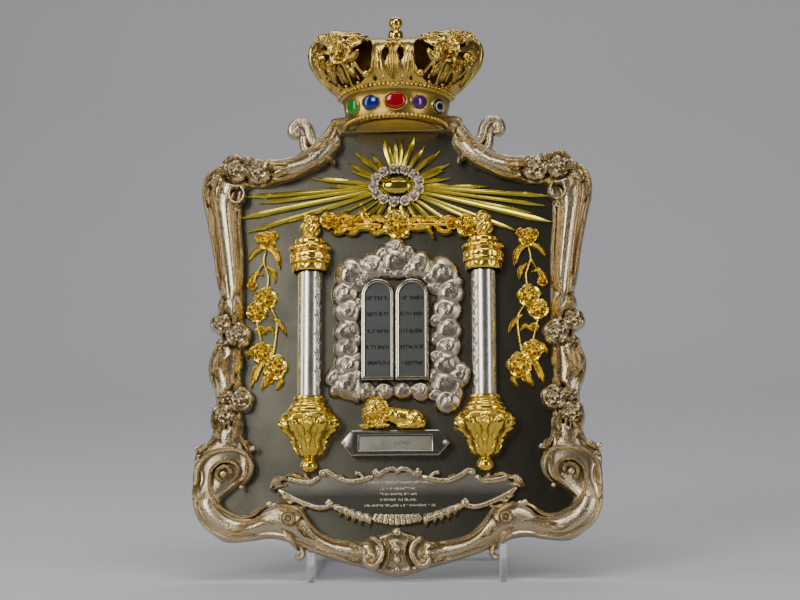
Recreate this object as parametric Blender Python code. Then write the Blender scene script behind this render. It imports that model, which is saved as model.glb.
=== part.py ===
"""A Torah shield with a half-round crown, leaning back on a clear easel.

Every ornament is drawn on the shield's own plane: u to the right, v up, w out of the plane towards the
viewer. The plane is then leaned back. Lengths are in metres. Tables of points, and sizes across the plane, are
in units of the drawing, which is 296 units wide: at the shield's own width a unit is one millimetre.
"""

import math

import bmesh
import bpy
from mathutils import Matrix, Vector

for old in list(bpy.data.objects):
    bpy.data.objects.remove(old)

MM = 0.001
GAP = 0.3 * MM
STEP = 0.06 * MM

# How the shield stands
LEAN = math.radians(12.0)
TIP_CLEARANCE = 1.5 * MM

# The plate and its cast frame
SHIELD_WIDTH = 296.0 * MM
UNIT = SHIELD_WIDTH / 296.0
PLATE_THICKNESS = 1.5 * MM
FRAME_RELIEF = 11.0 * MM
TOP_BAR_RELIEF = 3.0 * MM
BLOSSOM_RELIEF = 14.5 * MM
VOLUTE_RELIEF = 14.0 * MM

# The crown
CROWN_BACK_THICKNESS = 1.5 * MM
CROWN_WALL = 2.0 * MM
BAND_LOW = 127.4 * UNIT
BAND_HEIGHT = 24.6 * UNIT
BAND_LOW_RADIUS = 35.5 * UNIT
BAND_HIGH_RADIUS = 41.0 * UNIT
BAND_BEAD = 1.9 * UNIT
CROWN_HALF_WIDTH = 64.2 * UNIT
CROWN_REACH = 48.0 * UNIT
CROWN_SIDE_RISE = 51.7 * UNIT
CROWN_FRONT_RISE = 42.0 * UNIT
CROWN_ROSE_RADIUS = 12.0 * UNIT
CROWN_ROSE_RELIEF = 6.0 * MM
CROWN_BALL_RADIUS = 3.0 * UNIT
FINIAL_RADIUS = 5.1 * UNIT
STONE_RELIEF = 2.6 * MM

# The sunburst
SUN_V = 86.0 * UNIT
RAY_RELIEF = 2.6 * MM
RAY_EDGE = 0.6 * MM
RAY_HALF_WIDTH = 2.6 * UNIT
RAY_LENGTH = 110.0 * UNIT
WREATH_HALF_WIDTH = 17.3 * UNIT
WREATH_HALF_HEIGHT = 12.8 * UNIT
WREATH_TUBE = 2.8 * UNIT
BOSS_HALF_WIDTH = 11.5 * UNIT
BOSS_HALF_HEIGHT = 6.6 * UNIT
BOSS_RELIEF = 4.5 * MM

# The columns
COLUMN_SPACING = 127.6 * UNIT
COLUMN_AXIS_DEPTH = 3.0 * MM
SHAFT_RADIUS = 8.8 * UNIT
SHAFT_LOW = -71.5 * UNIT
SHAFT_LENGTH = 92.0 * UNIT
CAPITAL_RADIUS = 15.6 * UNIT
CAPITAL_HEIGHT = 45.8 * UNIT
BASE_RADIUS = 22.4 * UNIT
BASE_HEIGHT = 55.6 * UNIT

# The tablets and their clouds
CLOUD_SLAB = 2.5 * MM
CLOUD_RELIEF = 8.0 * MM
TABLET_WIDTH = 24.0 * UNIT
TABLET_HEIGHT = 75.0 * UNIT
TABLET_LOW = -60.4 * UNIT
TABLET_THICKNESS = 5.0 * MM
TABLET_RIM = 2.9 * UNIT
TABLET_SUNK = 1.6 * MM
TABLET_PAIR_GAP = 1.0 * UNIT
TABLET_PAIR_U = -1.2 * UNIT

# The tray, its plate and the lion on it
TRAY_U = -1.2 * UNIT
TRAY_TOP = -97.2 * UNIT
TRAY_LENGTH = 63.6 * UNIT
TRAY_HEIGHT = 18.8 * UNIT
TRAY_DEPTH = 9.0 * MM
TRAY_POINT = 8.2 * UNIT
WINDOW_LENGTH = 53.0 * UNIT
WINDOW_HEIGHT = 11.0 * UNIT
WINDOW_DEPTH = 3.6 * MM
PORTION_THICKNESS = 1.4 * MM
LION_LENGTH = 48.0 * UNIT

# The cartouche
CARTOUCHE_WIDTH = 176.0 * UNIT
CARTOUCHE_PLATE = 1.2 * MM
CARTOUCHE_RELIEF = 3.6 * MM
CARTOUCHE_RIM = 1.9 * UNIT

# Garland and sprays
GARLAND_RELIEF = 6.0 * MM
SPRAY_RELIEF = 5.0 * MM

# The easel
EASEL_THICKNESS = 5.2 * MM
EASEL_LEFT = -61.4 * UNIT
EASEL_RIGHT = 76.0 * UNIT
EASEL_DEPTH = 150.0 * MM
EASEL_TOE = 8.0 * MM
EASEL_LEDGE = 12.0 * MM
EASEL_UPRIGHT = 150.0 * MM
EASEL_WEB = 18.0 * MM
EASEL_SOLE = 12.0 * MM
EASEL_CHAMFER = 4.5 * MM
RAIL_WIDTH = 14.0 * MM
RAIL_THICKNESS = 5.0 * MM
RAIL_INSET = 10.0 * MM

# Heights on the plane: ornaments lie at zero, those over the rays and the crown lie higher
PLATE_BACK = -GAP - PLATE_THICKNESS
OVER_RAYS = RAY_RELIEF + GAP
CROWN_BACK_W = TOP_BAR_RELIEF + GAP
CROWN_W = CROWN_BACK_W + CROWN_BACK_THICKNESS + 2 * GAP

# The frame's half outline from the top to the bottom: outer u, v, inner u, v and share of the relief
TOP_SHARE = TOP_BAR_RELIEF / FRAME_RELIEF
FRAME_EDGES = (
    (0, 141, 0, 128, TOP_SHARE),
    (44.5, 139.5, 38, 125.5, TOP_SHARE),
    (49.5, 131, 41, 119, 0.8),
    (57, 123, 43.5, 114, 0.9),
    (66, 113, 50, 105.5, 1.0),
    (77, 107, 60, 98, 1.0),
    (99, 104.5, 92, 87, 1.0),
    (109, 110, 107, 86, 1.0),
    (127, 106, 112.5, 83.5, 1.0),
    (134.5, 101, 113.5, 81.5, 1.0),
    (140.5, 94, 114, 78.5, 1.0),
    (144, 84.5, 115, 74.5, 1.0),
    (144, 74, 116, 68, 1.0),
    (140.5, 63, 116.5, 60, 1.0),
    (132.5, 21, 113.5, 18, 1.0),
    (130, 0, 112.5, -1, 1.0),
    (130, -36, 113.5, -38, 0.9),
    (136.5, -55, 114, -56, 0.9),
    (133.5, -67, 113.5, -68, 0.9),
    (132.5, -84, 113, -83, 0.9),
    (137.5, -106, 110.5, -107, 0.8),
    (146, -112.5, 106, -113.5, 0.65),
    (148, -121, 105, -121, 0.6),
    (145.5, -131, 108, -131, 0.6),
    (147, -141, 119, -139.5, 0.7),
    (147.5, -149, 127, -146, 0.9),
    (144, -160, 124, -152, 1.0),
    (136.5, -169, 118, -157, 1.0),
    (124, -177, 110, -159, 1.0),
    (107, -176.5, 101.5, -158.5, 1.0),
    (93, -174.5, 94.5, -152, 1.0),
    (81, -176.5, 86, -148, 1.0),
    (71, -181, 75, -151, 1.0),
    (62, -184.5, 66.5, -157, 1.0),
    (52, -188, 59.5, -168, 1.0),
    (40, -192, 48, -175, 1.0),
    (25, -196, 29, -177, 1.0),
    (11, -200.5, 13, -172.5, 1.0),
    (0, -203, 0, -168, 1.0),
)
# The frame's section: share of the way from its outer to its inner edge, and share of the relief
FRAME_SECTION = ((0.0, 0.0), (0.08, 0.8), (0.5, 0.6), (0.9, 1.0), (1.0, 0.0))

# Blossoms and beads of one side of the frame: u, v and radius
FRAME_BLOSSOMS = (
    (103, 98, 9.5),
    (120, 101, 8.5),
    (134, 89, 6.0),
    (116, -26, 8.6),
    (130, -18, 6.4),
    (113.6, -73.5, 8.8),
    (128, -85, 8.0),
)
FRAME_BEADS = (
    (145, -116.5, 2.8),
    (145.2, -125, 2.6),
    (75.5, 129, 3.8),
)

# The crown's profile at its side and at its front: share of the half width or reach, share of the rise
CROWN_SIDE = (
    (0.755, 0.106), (0.882, 0.28), (0.966, 0.445), (1.0, 0.60), (0.977, 0.754), (0.896, 0.876), (0.755, 0.971),
    (0.592, 1.0), (0.36, 0.91), (0.062, 0.812),
)
CROWN_FRONT = (
    (0.927, 0.12), (0.98, 0.262), (1.0, 0.405), (0.985, 0.548), (0.927, 0.679), (0.833, 0.774), (0.708, 0.848),
    (0.5625, 0.905), (0.34, 0.96), (0.083, 1.0),
)
# Degrees from the crown's front at which its wall turns, and the openings between them on one side:
# first and last turn, then first and last row of the profile
CROWN_TURNS = (0, 5, 10, 20, 28, 36, 52, 60, 69, 79, 90)
CROWN_WINDOWS = (
    (1, 2, 7, 9), (1, 2, 11, 12), (3, 4, 6, 10), (5, 6, 5, 7), (7, 8, 5, 8), (8, 9, 9, 11), (5, 6, 10, 12),
)
# Set stones: name, degrees from the front, half width, half height
STONES = (
    ("green", -54, 5.8, 4.9),
    ("blue", -26, 6.0, 4.4),
    ("red", 2, 7.0, 5.4),
    ("purple", 29, 5.8, 4.3),
    ("black", 57, 5.4, 4.6),
)

# Rays of one side: degrees from upright, and length as a share of the longest
RAYS = (
    (4, 0.33), (17, 0.36), (29, 0.27), (38, 0.31), (50, 0.38), (65, 0.38), (76, 0.31), (85, 0.55), (93, 1.0),
    (98, 0.93), (104, 1.03), (111, 0.88), (121, 0.5), (136, 0.32), (152, 0.26), (169, 0.2),
)

# Garland blossoms: u, v, radius. Leaves and stems: root, middle, tip and half width
GARLAND_BLOSSOMS = ((0.5, 56.4, 10.5), (49.5, 54.5, 7.6), (-50.0, 60.5, 5.6), (-33.0, 57.5, 5.0))
GARLAND_LEAVES = (
    ((-7, 58), (-16, 62), (-24, 62), 3.2),
    ((-20, 57), (-25, 62), (-25, 71), 2.6),
    ((-8, 56), (-24, 54), (-37, 55), 3.4),
    ((-30, 57), (-40, 62), (-47, 60), 3.2),
    ((-32, 56), (-42, 52), (-50, 52), 2.6),
    ((7, 57), (15, 60), (24, 57), 3.2),
    ((16, 59), (26, 55), (33, 52), 3.4),
    ((20, 57), (25, 50), (27, 45), 2.4),
    ((28, 55), (37, 59), (46, 56), 3.2),
)

# Puffs of cloud: u, v, radius
PUFFS = (
    (-34, 19, 10), (-38.5, 5, 8.6), (-36, -9, 9), (-36, -23, 9), (-37, -36, 8.4), (-36, -49, 9), (-36, -64, 10),
    (-45.5, -59, 7), (-18, 25, 9.4), (-1, 29, 11), (-1, 39, 7), (16, 25, 9.4), (33, 19.5, 10.6), (38.5, 5, 9.4),
    (36, -9, 9.6), (37, -23, 9), (37, -36, 8.6), (36, -49, 10), (45, -57, 8.4), (35, -63, 10), (36.5, -75.5, 8.6),
    (-22, -68, 7), (-9, -67.8, 6.6), (4, -67.8, 6.6), (17, -68, 7),
)
CLOUD_OUTLINE = (
    (-38, -66), (40, -66), (42, -54), (37, -30), (38, 8), (31, 20), (9, 30), (0, 38), (-8, 31), (-33, 20), (-37, 4),
)

# Column profiles: share of the radius, share of the height
CAPITAL_PROFILE = (
    (0.84, 0.0), (0.85, 0.11), (0.97, 0.14), (0.99, 0.29), (0.87, 0.32), (1.0, 0.35), (1.0, 0.41), (0.75, 0.46),
    (0.73, 0.53), (0.4, 0.57), (0.32, 0.63), (0.39, 0.78), (0.12, 1.0),
)
CAPITAL_BUD = 0.55
BASE_PROFILE = (
    (0.51, 0.0), (0.48, 0.07), (0.62, 0.12), (0.715, 0.18), (0.72, 0.22), (0.9, 0.235), (1.0, 0.37), (0.92, 0.47),
    (0.7, 0.54), (0.56, 0.68), (0.48, 0.755), (0.2, 0.82), (0.265, 0.91), (0.13, 1.0),
)
LOBED_ROWS = range(5, 11)
LOBE_DEPTH = 0.07

# The lion: centre and half sizes of its masses as shares of its length, from its rump's end at its feet
LION_MASSES = (
    ((0.5, 0.2, 0.13), (0.34, 0.15, 0.12)),
    ((0.22, 0.2, 0.15), (0.19, 0.185, 0.14)),
    ((0.77, 0.26, 0.15), (0.215, 0.21, 0.145)),
    ((0.81, 0.25, 0.25), (0.13, 0.135, 0.1)),
    ((0.85, 0.2, 0.33), (0.07, 0.06, 0.055)),
    ((0.88, 0.06, 0.16), (0.12, 0.055, 0.08)),
    ((0.66, 0.06, 0.2), (0.12, 0.055, 0.07)),
    ((0.3, 0.06, 0.2), (0.14, 0.055, 0.08)),
)

# Half outline of the cartouche from the top to the bottom, and its leaves: root, middle, tip, half width
CARTOUCHE_OUTLINE = (
    (0, -127.5), (12, -127), (21, -130.5), (34, -132.5), (46, -129), (54, -128.5), (64, -132.5), (76, -132),
    (84, -135), (86, -139), (78, -144), (68, -148.5), (57, -152.5), (46, -152), (36, -154.5), (26, -159),
    (13, -161.5), (0, -162),
)
CARTOUCHE_LEAVES = (
    ((80, -131), (88, -132), (92.5, -139.5), 2.4),
    ((66, -131), (76, -128.5), (82, -130), 1.8),
    ((72, -145), (76, -147), (80, -147), 1.8),
    ((36, -153.5), (40, -157), (39, -160), 1.8),
    ((19, -160), (21, -163), (20, -165.5), 2.0),
    ((-4, -126), (0, -123), (4, -126), 1.8),
)
CARTOUCHE_CURLS = ((53.5, -127.5, 2.6), (14, -127.5, 2.8), (48, -150.5, 2.8))
GADROONS = 7

# Flower spray of one side: blossoms, then leaves and stems from root to tip
SPRAY_BLOSSOMS = (
    (96.5, 46, 6.2), (96, 2, 7.8), (102.5, -6, 8.0), (97.5, -40, 8.0), (90, -48.5, 8.6),
)
SPRAY_LEAVES = (
    ((96, 43), (97, 22), (96, 5), 1.7),
    ((96.5, 40), (89, 34), (86.5, 24), 2.6),
    ((97, 40), (105, 36), (110, 29), 2.6),
    ((96.5, 22), (104, 19), (109, 13), 2.4),
    ((94, -1), (89, -18), (92, -42), 1.9),
    ((90, -16), (86, -23), (81.5, -26), 2.4),
    ((97, -42), (103, -55), (107, -65), 2.6),
    ((91, -50), (96, -56), (99, -62), 2.8),
)

ROUND = ((-1.0, 0.0), (-0.72, 0.72), (0.0, 1.0), (0.72, 0.72), (1.0, 0.0))
RIDGE = ((-1.0, 0.0), (0.0, 1.0), (1.0, 0.0))
PLANE_TO_OBJECT = Matrix(((1, 0, 0, 0), (0, 0, -1, 0), (0, 1, 0, 0), (0, 0, 0, 1)))
ORIGIN = Vector((0, 0, 0))


def at(u, v, w=0.0):
    """A point of the drawing on the shield's plane, with its height w in metres."""
    return Vector((u * UNIT, v * UNIT, w))


def size(units):
    """A length of the drawing, in metres."""
    return units * UNIT


def loft(rings, closed=False):
    """A closed body through rings of points, capped at its ends unless it closes on itself. A last ring of one
    point makes a peak."""
    bm = bmesh.new()
    rows = [[bm.verts.new(point) for point in ring] for ring in rings]
    count = len(rows[0])
    spans = list(zip(rows, rows[1:]))
    if closed:
        spans.append((rows[-1], rows[0]))
    else:
        bm.faces.new(list(reversed(rows[0])))
        if len(rows[-1]) > 1:
            bm.faces.new(rows[-1])
    for near, far in spans:
        for i in range(count):
            j = (i + 1) % count
            if len(far) > 1:
                bm.faces.new((near[i], near[j], far[j], far[i]))
            else:
                bm.faces.new((near[i], near[j], far[0]))
    bmesh.ops.recalc_face_normals(bm, faces=bm.faces)
    return bm


def prism(outline, low, high):
    """A flat slab with that outline, from height low to high."""
    return loft([[Vector((p.x, p.y, w)) for p in outline] for w in (low, high)])


def both_sides(half):
    """A closed outline from its half, whose first and last points lie on the middle line."""
    return list(half) + [Vector((-p.x, p.y, p.z)) for p in reversed(half[1:-1])]


def curve(points, steps=3, closed=False):
    """A smooth line through the points."""
    count = len(points)
    line = []
    for i in range(count if closed else count - 1):
        around = [i - 1, i, i + 1, i + 2]
        if not closed:
            around = [min(max(k, 0), count - 1) for k in around]
        a, b, c, d = (points[k % count] for k in around)
        for step in range(steps):
            t = step / steps
            bend = 2 * a - 5 * b + 4 * c - d
            line.append(0.5 * (2 * b + (c - a) * t + bend * t * t + (3 * b - a - 3 * c + d) * t**3))
    if not closed:
        line.append(points[-1])
    return line


def across(line, i, closed):
    """The direction square to a flat line at its point i."""
    count = len(line)
    before = line[(i - 1) % count] if closed or i else line[0]
    after = line[(i + 1) % count] if closed or i < count - 1 else line[-1]
    along = (after - before).normalized()
    return Vector((-along.y, along.x, 0.0))


def moulding(line, half_width, height, base, section=RIDGE, closed=False, taper=None):
    """A bar along a flat line. taper gives its share of the width and height along it, from 0 to 1."""
    rings = []
    for i, point in enumerate(line):
        share = taper(i / (len(line) - 1)) if taper else 1.0
        side = across(line, i, closed) * half_width * share
        foot = Vector((point.x, point.y, base))
        rings.append([foot + side * x + Vector((0, 0, height * y * share)) for x, y in section])
    return loft(rings, closed)


def leaf_shape(t):
    """The share of a leaf's width along it."""
    return 0.12 + 0.88 * math.sin(math.pi * min(1.0, 0.14 + 0.86 * t))


def leaf(root, middle, tip, half_width, base, height):
    """A leaf or stem with a midrib, thin at both its ends."""
    line = [at(*root), at(*middle), at(*tip)]
    return moulding(line, size(half_width), height, base, RIDGE, False, leaf_shape)


def blossom(centre, radius, base, height, petals=5):
    """A round blossom: notched petals and a bud."""
    rings = []
    for reach, rise in ((1.0, 0.0), (0.84, 0.75)):
        ring = []
        for i in range(2 * petals):
            angle = math.pi * i / petals + 0.3
            out = radius * reach * (1.0 if i % 2 else 0.84)
            ring.append(centre + Vector((out * math.cos(angle), out * math.sin(angle), base + height * rise)))
        rings.append(ring)
    return loft([*rings, [centre + Vector((0, 0, base + height))]])


def dome(centre, radius_u, radius_v, base, height, sides=7):
    """A low round mound."""
    rings = []
    for reach, rise in ((1.0, 0.0), (0.72, 0.74)):
        ring = []
        for i in range(sides):
            angle = 2 * math.pi * i / sides
            foot = (radius_u * reach * math.cos(angle), radius_v * reach * math.sin(angle), base + height * rise)
            ring.append(centre + Vector(foot))
        rings.append(ring)
    return loft([*rings, [centre + Vector((0, 0, base + height))]])


def ball(centre, radii, rows=5, sides=8):
    """A faceted ball, or an egg where its three radii differ."""
    bm = bmesh.new()
    bmesh.ops.create_uvsphere(bm, u_segments=sides, v_segments=rows, radius=1.0)
    bmesh.ops.scale(bm, vec=Vector(radii), verts=bm.verts)
    bmesh.ops.translate(bm, vec=centre, verts=bm.verts)
    return bm


def bead(u, v, radius, w):
    """A small round bead."""
    return ball(at(u, v, w), [size(radius)] * 3, 3, 6)


def spiral(centre, start_radius, end_radius, start, end, steps):
    """A line that winds in round a centre, between two angles in degrees."""
    line = []
    for i in range(steps + 1):
        t = i / steps
        angle = math.radians(start + (end - start) * t)
        radius = size(start_radius + (end_radius - start_radius) * t)
        line.append(at(*centre) + Vector((radius * math.cos(angle), radius * math.sin(angle), 0.0)))
    return line


def mirrored(shells):
    """The same shapes on the other side of the shield."""
    copies = []
    for shell in shells:
        other = shell.copy()
        bmesh.ops.scale(other, vec=(-1.0, 1.0, 1.0), verts=other.verts)
        bmesh.ops.reverse_faces(other, faces=other.faces)
        copies.append(other)
    return copies


def material(name, colour, roughness, metallic, alpha=1.0):
    """A plain finish for one kind of surface."""
    finish = bpy.data.materials.new(name)
    finish.use_nodes = True
    shader = finish.node_tree.nodes["Principled BSDF"]
    shader.inputs["Base Color"].default_value = (*colour, 1.0)
    shader.inputs["Roughness"].default_value = roughness
    shader.inputs["Metallic"].default_value = metallic
    shader.inputs["Alpha"].default_value = alpha
    return finish


SILVER = material("silver", (0.62, 0.56, 0.51), 0.3, 1.0)
BRIGHT_SILVER = material("bright silver", (0.75, 0.74, 0.72), 0.15, 1.0)
DARK_SILVER = material("dark silver", (0.3, 0.29, 0.25), 0.4, 1.0)
CLOUD_SILVER = material("cloud silver", (0.6, 0.53, 0.48), 0.45, 1.0)
SLATE = material("tablet slate", (0.12, 0.13, 0.13), 0.45, 0.6)
GILT = material("gilt", (0.85, 0.6, 0.16), 0.25, 1.0)
GILT_PALE = material("pale gilt", (0.83, 0.68, 0.38), 0.3, 1.0)
GILT_OLIVE = material("olive gilt", (0.55, 0.42, 0.1), 0.25, 1.0)
ACRYLIC = material("acrylic", (0.9, 0.93, 0.94), 0.05, 0.0, 0.35)
STONE_COLOURS = {
    "green": (0.02, 0.3, 0.05),
    "blue": (0.01, 0.04, 0.35),
    "red": (0.5, 0.01, 0.01),
    "purple": (0.15, 0.02, 0.25),
    "black": (0.01, 0.01, 0.02),
}


def new_object(name, bm):
    """An object whose mesh is a shape."""
    mesh = bpy.data.meshes.new(name)
    bm.to_mesh(mesh)
    bm.free()
    body = bpy.data.objects.new(name, mesh)
    bpy.context.scene.collection.objects.link(body)
    return body


def gathered(shells):
    """Several shapes in one."""
    bm = bmesh.new()
    for shell in shells:
        mesh = bpy.data.meshes.new("shape")
        shell.to_mesh(mesh)
        shell.free()
        bm.from_mesh(mesh)
        bpy.data.meshes.remove(mesh)
    return bm


def evaluated(body):
    """Turns an object's modifiers into its own mesh."""
    bpy.context.view_layer.update()
    depsgraph = bpy.context.evaluated_depsgraph_get()
    mesh = bpy.data.meshes.new_from_object(body.evaluated_get(depsgraph))
    body.modifiers.clear()
    body.data = mesh


def combine(body, shells, operation):
    """Adds closed shapes to a body, or cuts them from it."""
    tool = new_object(body.name + "_tool", gathered(shells))
    boolean = body.modifiers.new("combine", "BOOLEAN")
    boolean.operation = operation
    boolean.solver = "EXACT"
    boolean.use_self = True
    boolean.object = tool
    evaluated(body)
    bpy.data.objects.remove(tool)


shield_plane = bpy.data.objects.new("shield_plane", None)
bpy.context.scene.collection.objects.link(shield_plane)


def settled(body, finish, smooth=35):
    """Sets a piece that was drawn on the shield's plane in its place, with its finish and shading."""
    body.data.transform(PLANE_TO_OBJECT)
    body.data.materials.clear()
    body.data.materials.append(finish)
    body.data.shade_smooth()
    body.data.set_sharp_from_angle(angle=math.radians(smooth))
    body.parent = shield_plane
    return body


def ornament(name, shells, finish, smooth=35):
    """A piece of the shield, fused from its shapes."""
    body = new_object(name, shells[0])
    if len(shells) > 1:
        combine(body, shells[1:], "UNION")
    return settled(body, finish, smooth)


def frame_line(share):
    """The closed line that runs between the frame's outer and inner edge, at a share of the way."""
    return both_sides([at(a + (c - a) * share, b + (d - b) * share) for a, b, c, d, _ in FRAME_EDGES])


def build_backplate():
    ornament("backplate", [prism(frame_line(0.5)[::2], PLATE_BACK, -GAP)], DARK_SILVER)


def frame_ring():
    """The frame's main body, lofted along its outline."""
    half = [edge[4] for edge in FRAME_EDGES]
    reliefs = half + list(reversed(half[1:-1]))
    lines = [frame_line(share) for share, _ in FRAME_SECTION]
    rings = []
    for i, relief in enumerate(reliefs):
        rises = [Vector((0, 0, FRAME_RELIEF * relief * rise)) for _, rise in FRAME_SECTION]
        rings.append([line[i] + rise for line, rise in zip(lines, rises)])
    return loft(rings, True)


def build_frame():
    half = []
    for i, (u, v, radius) in enumerate(FRAME_BLOSSOMS):
        half.append(blossom(at(u, v), size(radius), (5 + i) * STEP, BLOSSOM_RELIEF, 4 if radius < 9 else 5))
    for i, (u, v, radius) in enumerate(FRAME_BEADS):
        half.append(bead(u, v, radius, size(radius) + (12 + i) * STEP))
    winding = spiral((124.5, -127), 18.0, 4.5, -25, 400, 10)
    half.append(moulding(winding, size(4.2), VOLUTE_RELIEF, 3 * STEP, RIDGE, False, lambda t: 1 - 0.2 * t))
    top_curl = [at(66, 104), at(69.5, 114), at(67, 122), at(69, 130), at(75, 130)]
    half.append(moulding(top_curl, size(5.0), FRAME_RELIEF, 4 * STEP, RIDGE, False, lambda t: 1 - 0.35 * t))
    corner = spiral((122, 81.5), 7.6, 3.2, 150, 400, 6)
    half.append(moulding(corner, size(2.4), VOLUTE_RELIEF, 20 * STEP))
    hook = [at(56, 108), at(49, 106), at(46, 101)]
    half.append(moulding(hook, size(3.0), 0.6 * FRAME_RELIEF, 21 * STEP, RIDGE, False, lambda t: 1 - 0.6 * t))
    spur = [at(71, -173), at(69, -182), at(67.5, -190)]
    half.append(moulding(spur, size(3.0), 0.7 * FRAME_RELIEF, 22 * STEP, RIDGE, False, lambda t: 1 - 0.7 * t))
    side_leaf = [at(130, -36), at(134, -48), at(133, -62), at(127, -72)]
    half.append(moulding(side_leaf, size(4.0), FRAME_RELIEF, 23 * STEP, RIDGE, False, leaf_shape))
    half.append(dome(at(78, -161), size(5.6), size(5.6), 24 * STEP, VOLUTE_RELIEF, 8))
    clasp = [at(11, -174), at(14.5, -181), at(14.5, -189), at(11, -197)]
    half.append(moulding(clasp, size(3.0), VOLUTE_RELIEF, 25 * STEP))
    beads = [bead(0, v, 3.4, share * FRAME_RELIEF) for v, share in ((-175, 0.85), (-184, 0.65), (-193, 0.65))]
    ornament("frame", [frame_ring(), *half, *mirrored(half), *beads], SILVER)


def crown_profile(turn):
    """Radius and height of the crown's wall from the band up, at an angle from its front."""
    high = BAND_LOW + BAND_HEIGHT
    points = [
        (BAND_LOW_RADIUS + 0.7 * BAND_BEAD, BAND_LOW),
        (BAND_LOW_RADIUS + 0.4 * BAND_BEAD, BAND_LOW + 1.8 * BAND_BEAD),
        (BAND_HIGH_RADIUS - 0.4 * BAND_BEAD, high - 1.8 * BAND_BEAD),
        (BAND_HIGH_RADIUS + 0.8 * BAND_BEAD, high - 0.9 * BAND_BEAD),
        (BAND_HIGH_RADIUS, high),
    ]
    wide = math.sin(turn) ** 2
    tall = math.sin(turn) ** 4
    for (side_out, side_up), (front_out, front_up) in zip(CROWN_SIDE, CROWN_FRONT):
        front = front_out * CROWN_REACH
        radius = front + (side_out * CROWN_HALF_WIDTH - front) * wide
        rise = front_up * CROWN_FRONT_RISE * (1 - tall) + side_up * CROWN_SIDE_RISE * tall
        points.append((radius, high + rise))
    return points


def crown_point(turn, row):
    """A point of the crown's outer face. A row between two rows of its profile is read between them."""
    profile = crown_profile(turn)
    low = min(int(row), len(profile) - 2)
    (radius, height), (next_radius, next_height) = profile[low], profile[low + 1]
    radius += (next_radius - radius) * (row - low)
    height += (next_height - height) * (row - low)
    return Vector((radius * math.sin(turn), height, CROWN_W + radius * math.cos(turn)))


def on_crown(shell, turn, row, out):
    """Sets a shape that was drawn flat on the crown's outer face, standing out by a distance."""
    step = 0.02
    along = crown_point(turn + step, row) - crown_point(turn - step, row)
    up = crown_point(turn, row + step) - crown_point(turn, row - step)
    normal = along.cross(up).normalized()
    rise = (up - up.project(along)).normalized()
    turned = Matrix((rise.cross(normal), rise, normal)).transposed().to_4x4()
    place = Matrix.Translation(crown_point(turn, row) + normal * out) @ turned
    bmesh.ops.transform(shell, matrix=place, verts=shell.verts)
    return shell


def build_crown():
    turns = [-turn for turn in reversed(CROWN_TURNS[1:])] + list(CROWN_TURNS)
    middle = turns.index(0)
    rows = len(crown_profile(0.0))
    bm = bmesh.new()
    grid = [[bm.verts.new(crown_point(math.radians(turn), row)) for turn in turns] for row in range(rows)]
    for row in range(rows - 1):
        for column in range(len(turns) - 1):
            cell = column - middle if column >= middle else middle - 1 - column
            if any(a <= cell < b and c <= row < d for a, b, c, d in CROWN_WINDOWS):
                continue
            low, high = grid[row], grid[row + 1]
            bm.faces.new((low[column], low[column + 1], high[column + 1], high[column]))
    bm.faces.new(grid[-1])
    loose = [vert for vert in bm.verts if not vert.link_faces]
    bmesh.ops.delete(bm, geom=loose, context="VERTS")
    body = new_object("crown", bm)
    wall = body.modifiers.new("wall", "SOLIDIFY")
    wall.thickness = CROWN_WALL
    wall.offset = -1.0
    evaluated(body)
    shells = []
    for side in (-1, 1):
        rose = blossom(ORIGIN, CROWN_ROSE_RADIUS, 0.0, CROWN_ROSE_RELIEF, 5)
        shells.append(on_crown(rose, side * math.radians(45), 8.2, -0.6 * CROWN_WALL))
        bud = ball(ORIGIN, [CROWN_BALL_RADIUS] * 3, 4, 6)
        shells.append(on_crown(bud, side * math.radians(24), 5.5, 0.5 * CROWN_BALL_RADIUS))
    shell = dome(ORIGIN, 0.35 * CROWN_ROSE_RADIUS, 0.8 * CROWN_ROSE_RADIUS, 0.0, 0.6 * CROWN_ROSE_RELIEF, 8)
    shells.append(on_crown(shell, 0.0, 7.2, -0.5 * CROWN_WALL))
    combine(body, shells, "UNION")
    settled(body, GILT_PALE)


def build_crown_back():
    half = [Vector((radius, height, 0.0)) for radius, height in crown_profile(math.pi / 2)]
    outline = half + [Vector((-p.x, p.y, 0.0)) for p in reversed(half)]
    ornament("crown_back", [prism(outline, CROWN_BACK_W, CROWN_BACK_W + CROWN_BACK_THICKNESS)], GILT)


def build_finial():
    foot = BAND_LOW + BAND_HEIGHT + CROWN_FRONT_RISE + GAP
    low = Vector((0, foot + FINIAL_RADIUS, CROWN_W + 1.1 * FINIAL_RADIUS))
    high = low + Vector((0, 2.0 * FINIAL_RADIUS, 0))
    disc = ball((low + high) / 2, [0.62 * FINIAL_RADIUS, 0.22 * FINIAL_RADIUS, 0.62 * FINIAL_RADIUS], 4, 8)
    shells = [ball(low, [FINIAL_RADIUS] * 3, 5, 8), disc, ball(high, [0.92 * FINIAL_RADIUS] * 3, 5, 8)]
    ornament("finial", shells, GILT, 50)


def build_stones():
    for name, turn, half_width, half_height in STONES:
        stone = dome(ORIGIN, size(half_width), size(half_height), 0.0, STONE_RELIEF, 10)
        on_crown(stone, math.radians(turn), 1.5, GAP)
        ornament("stone_" + name, [stone], material(name + " stone", STONE_COLOURS[name], 0.08, 0.0), 50)


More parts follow.
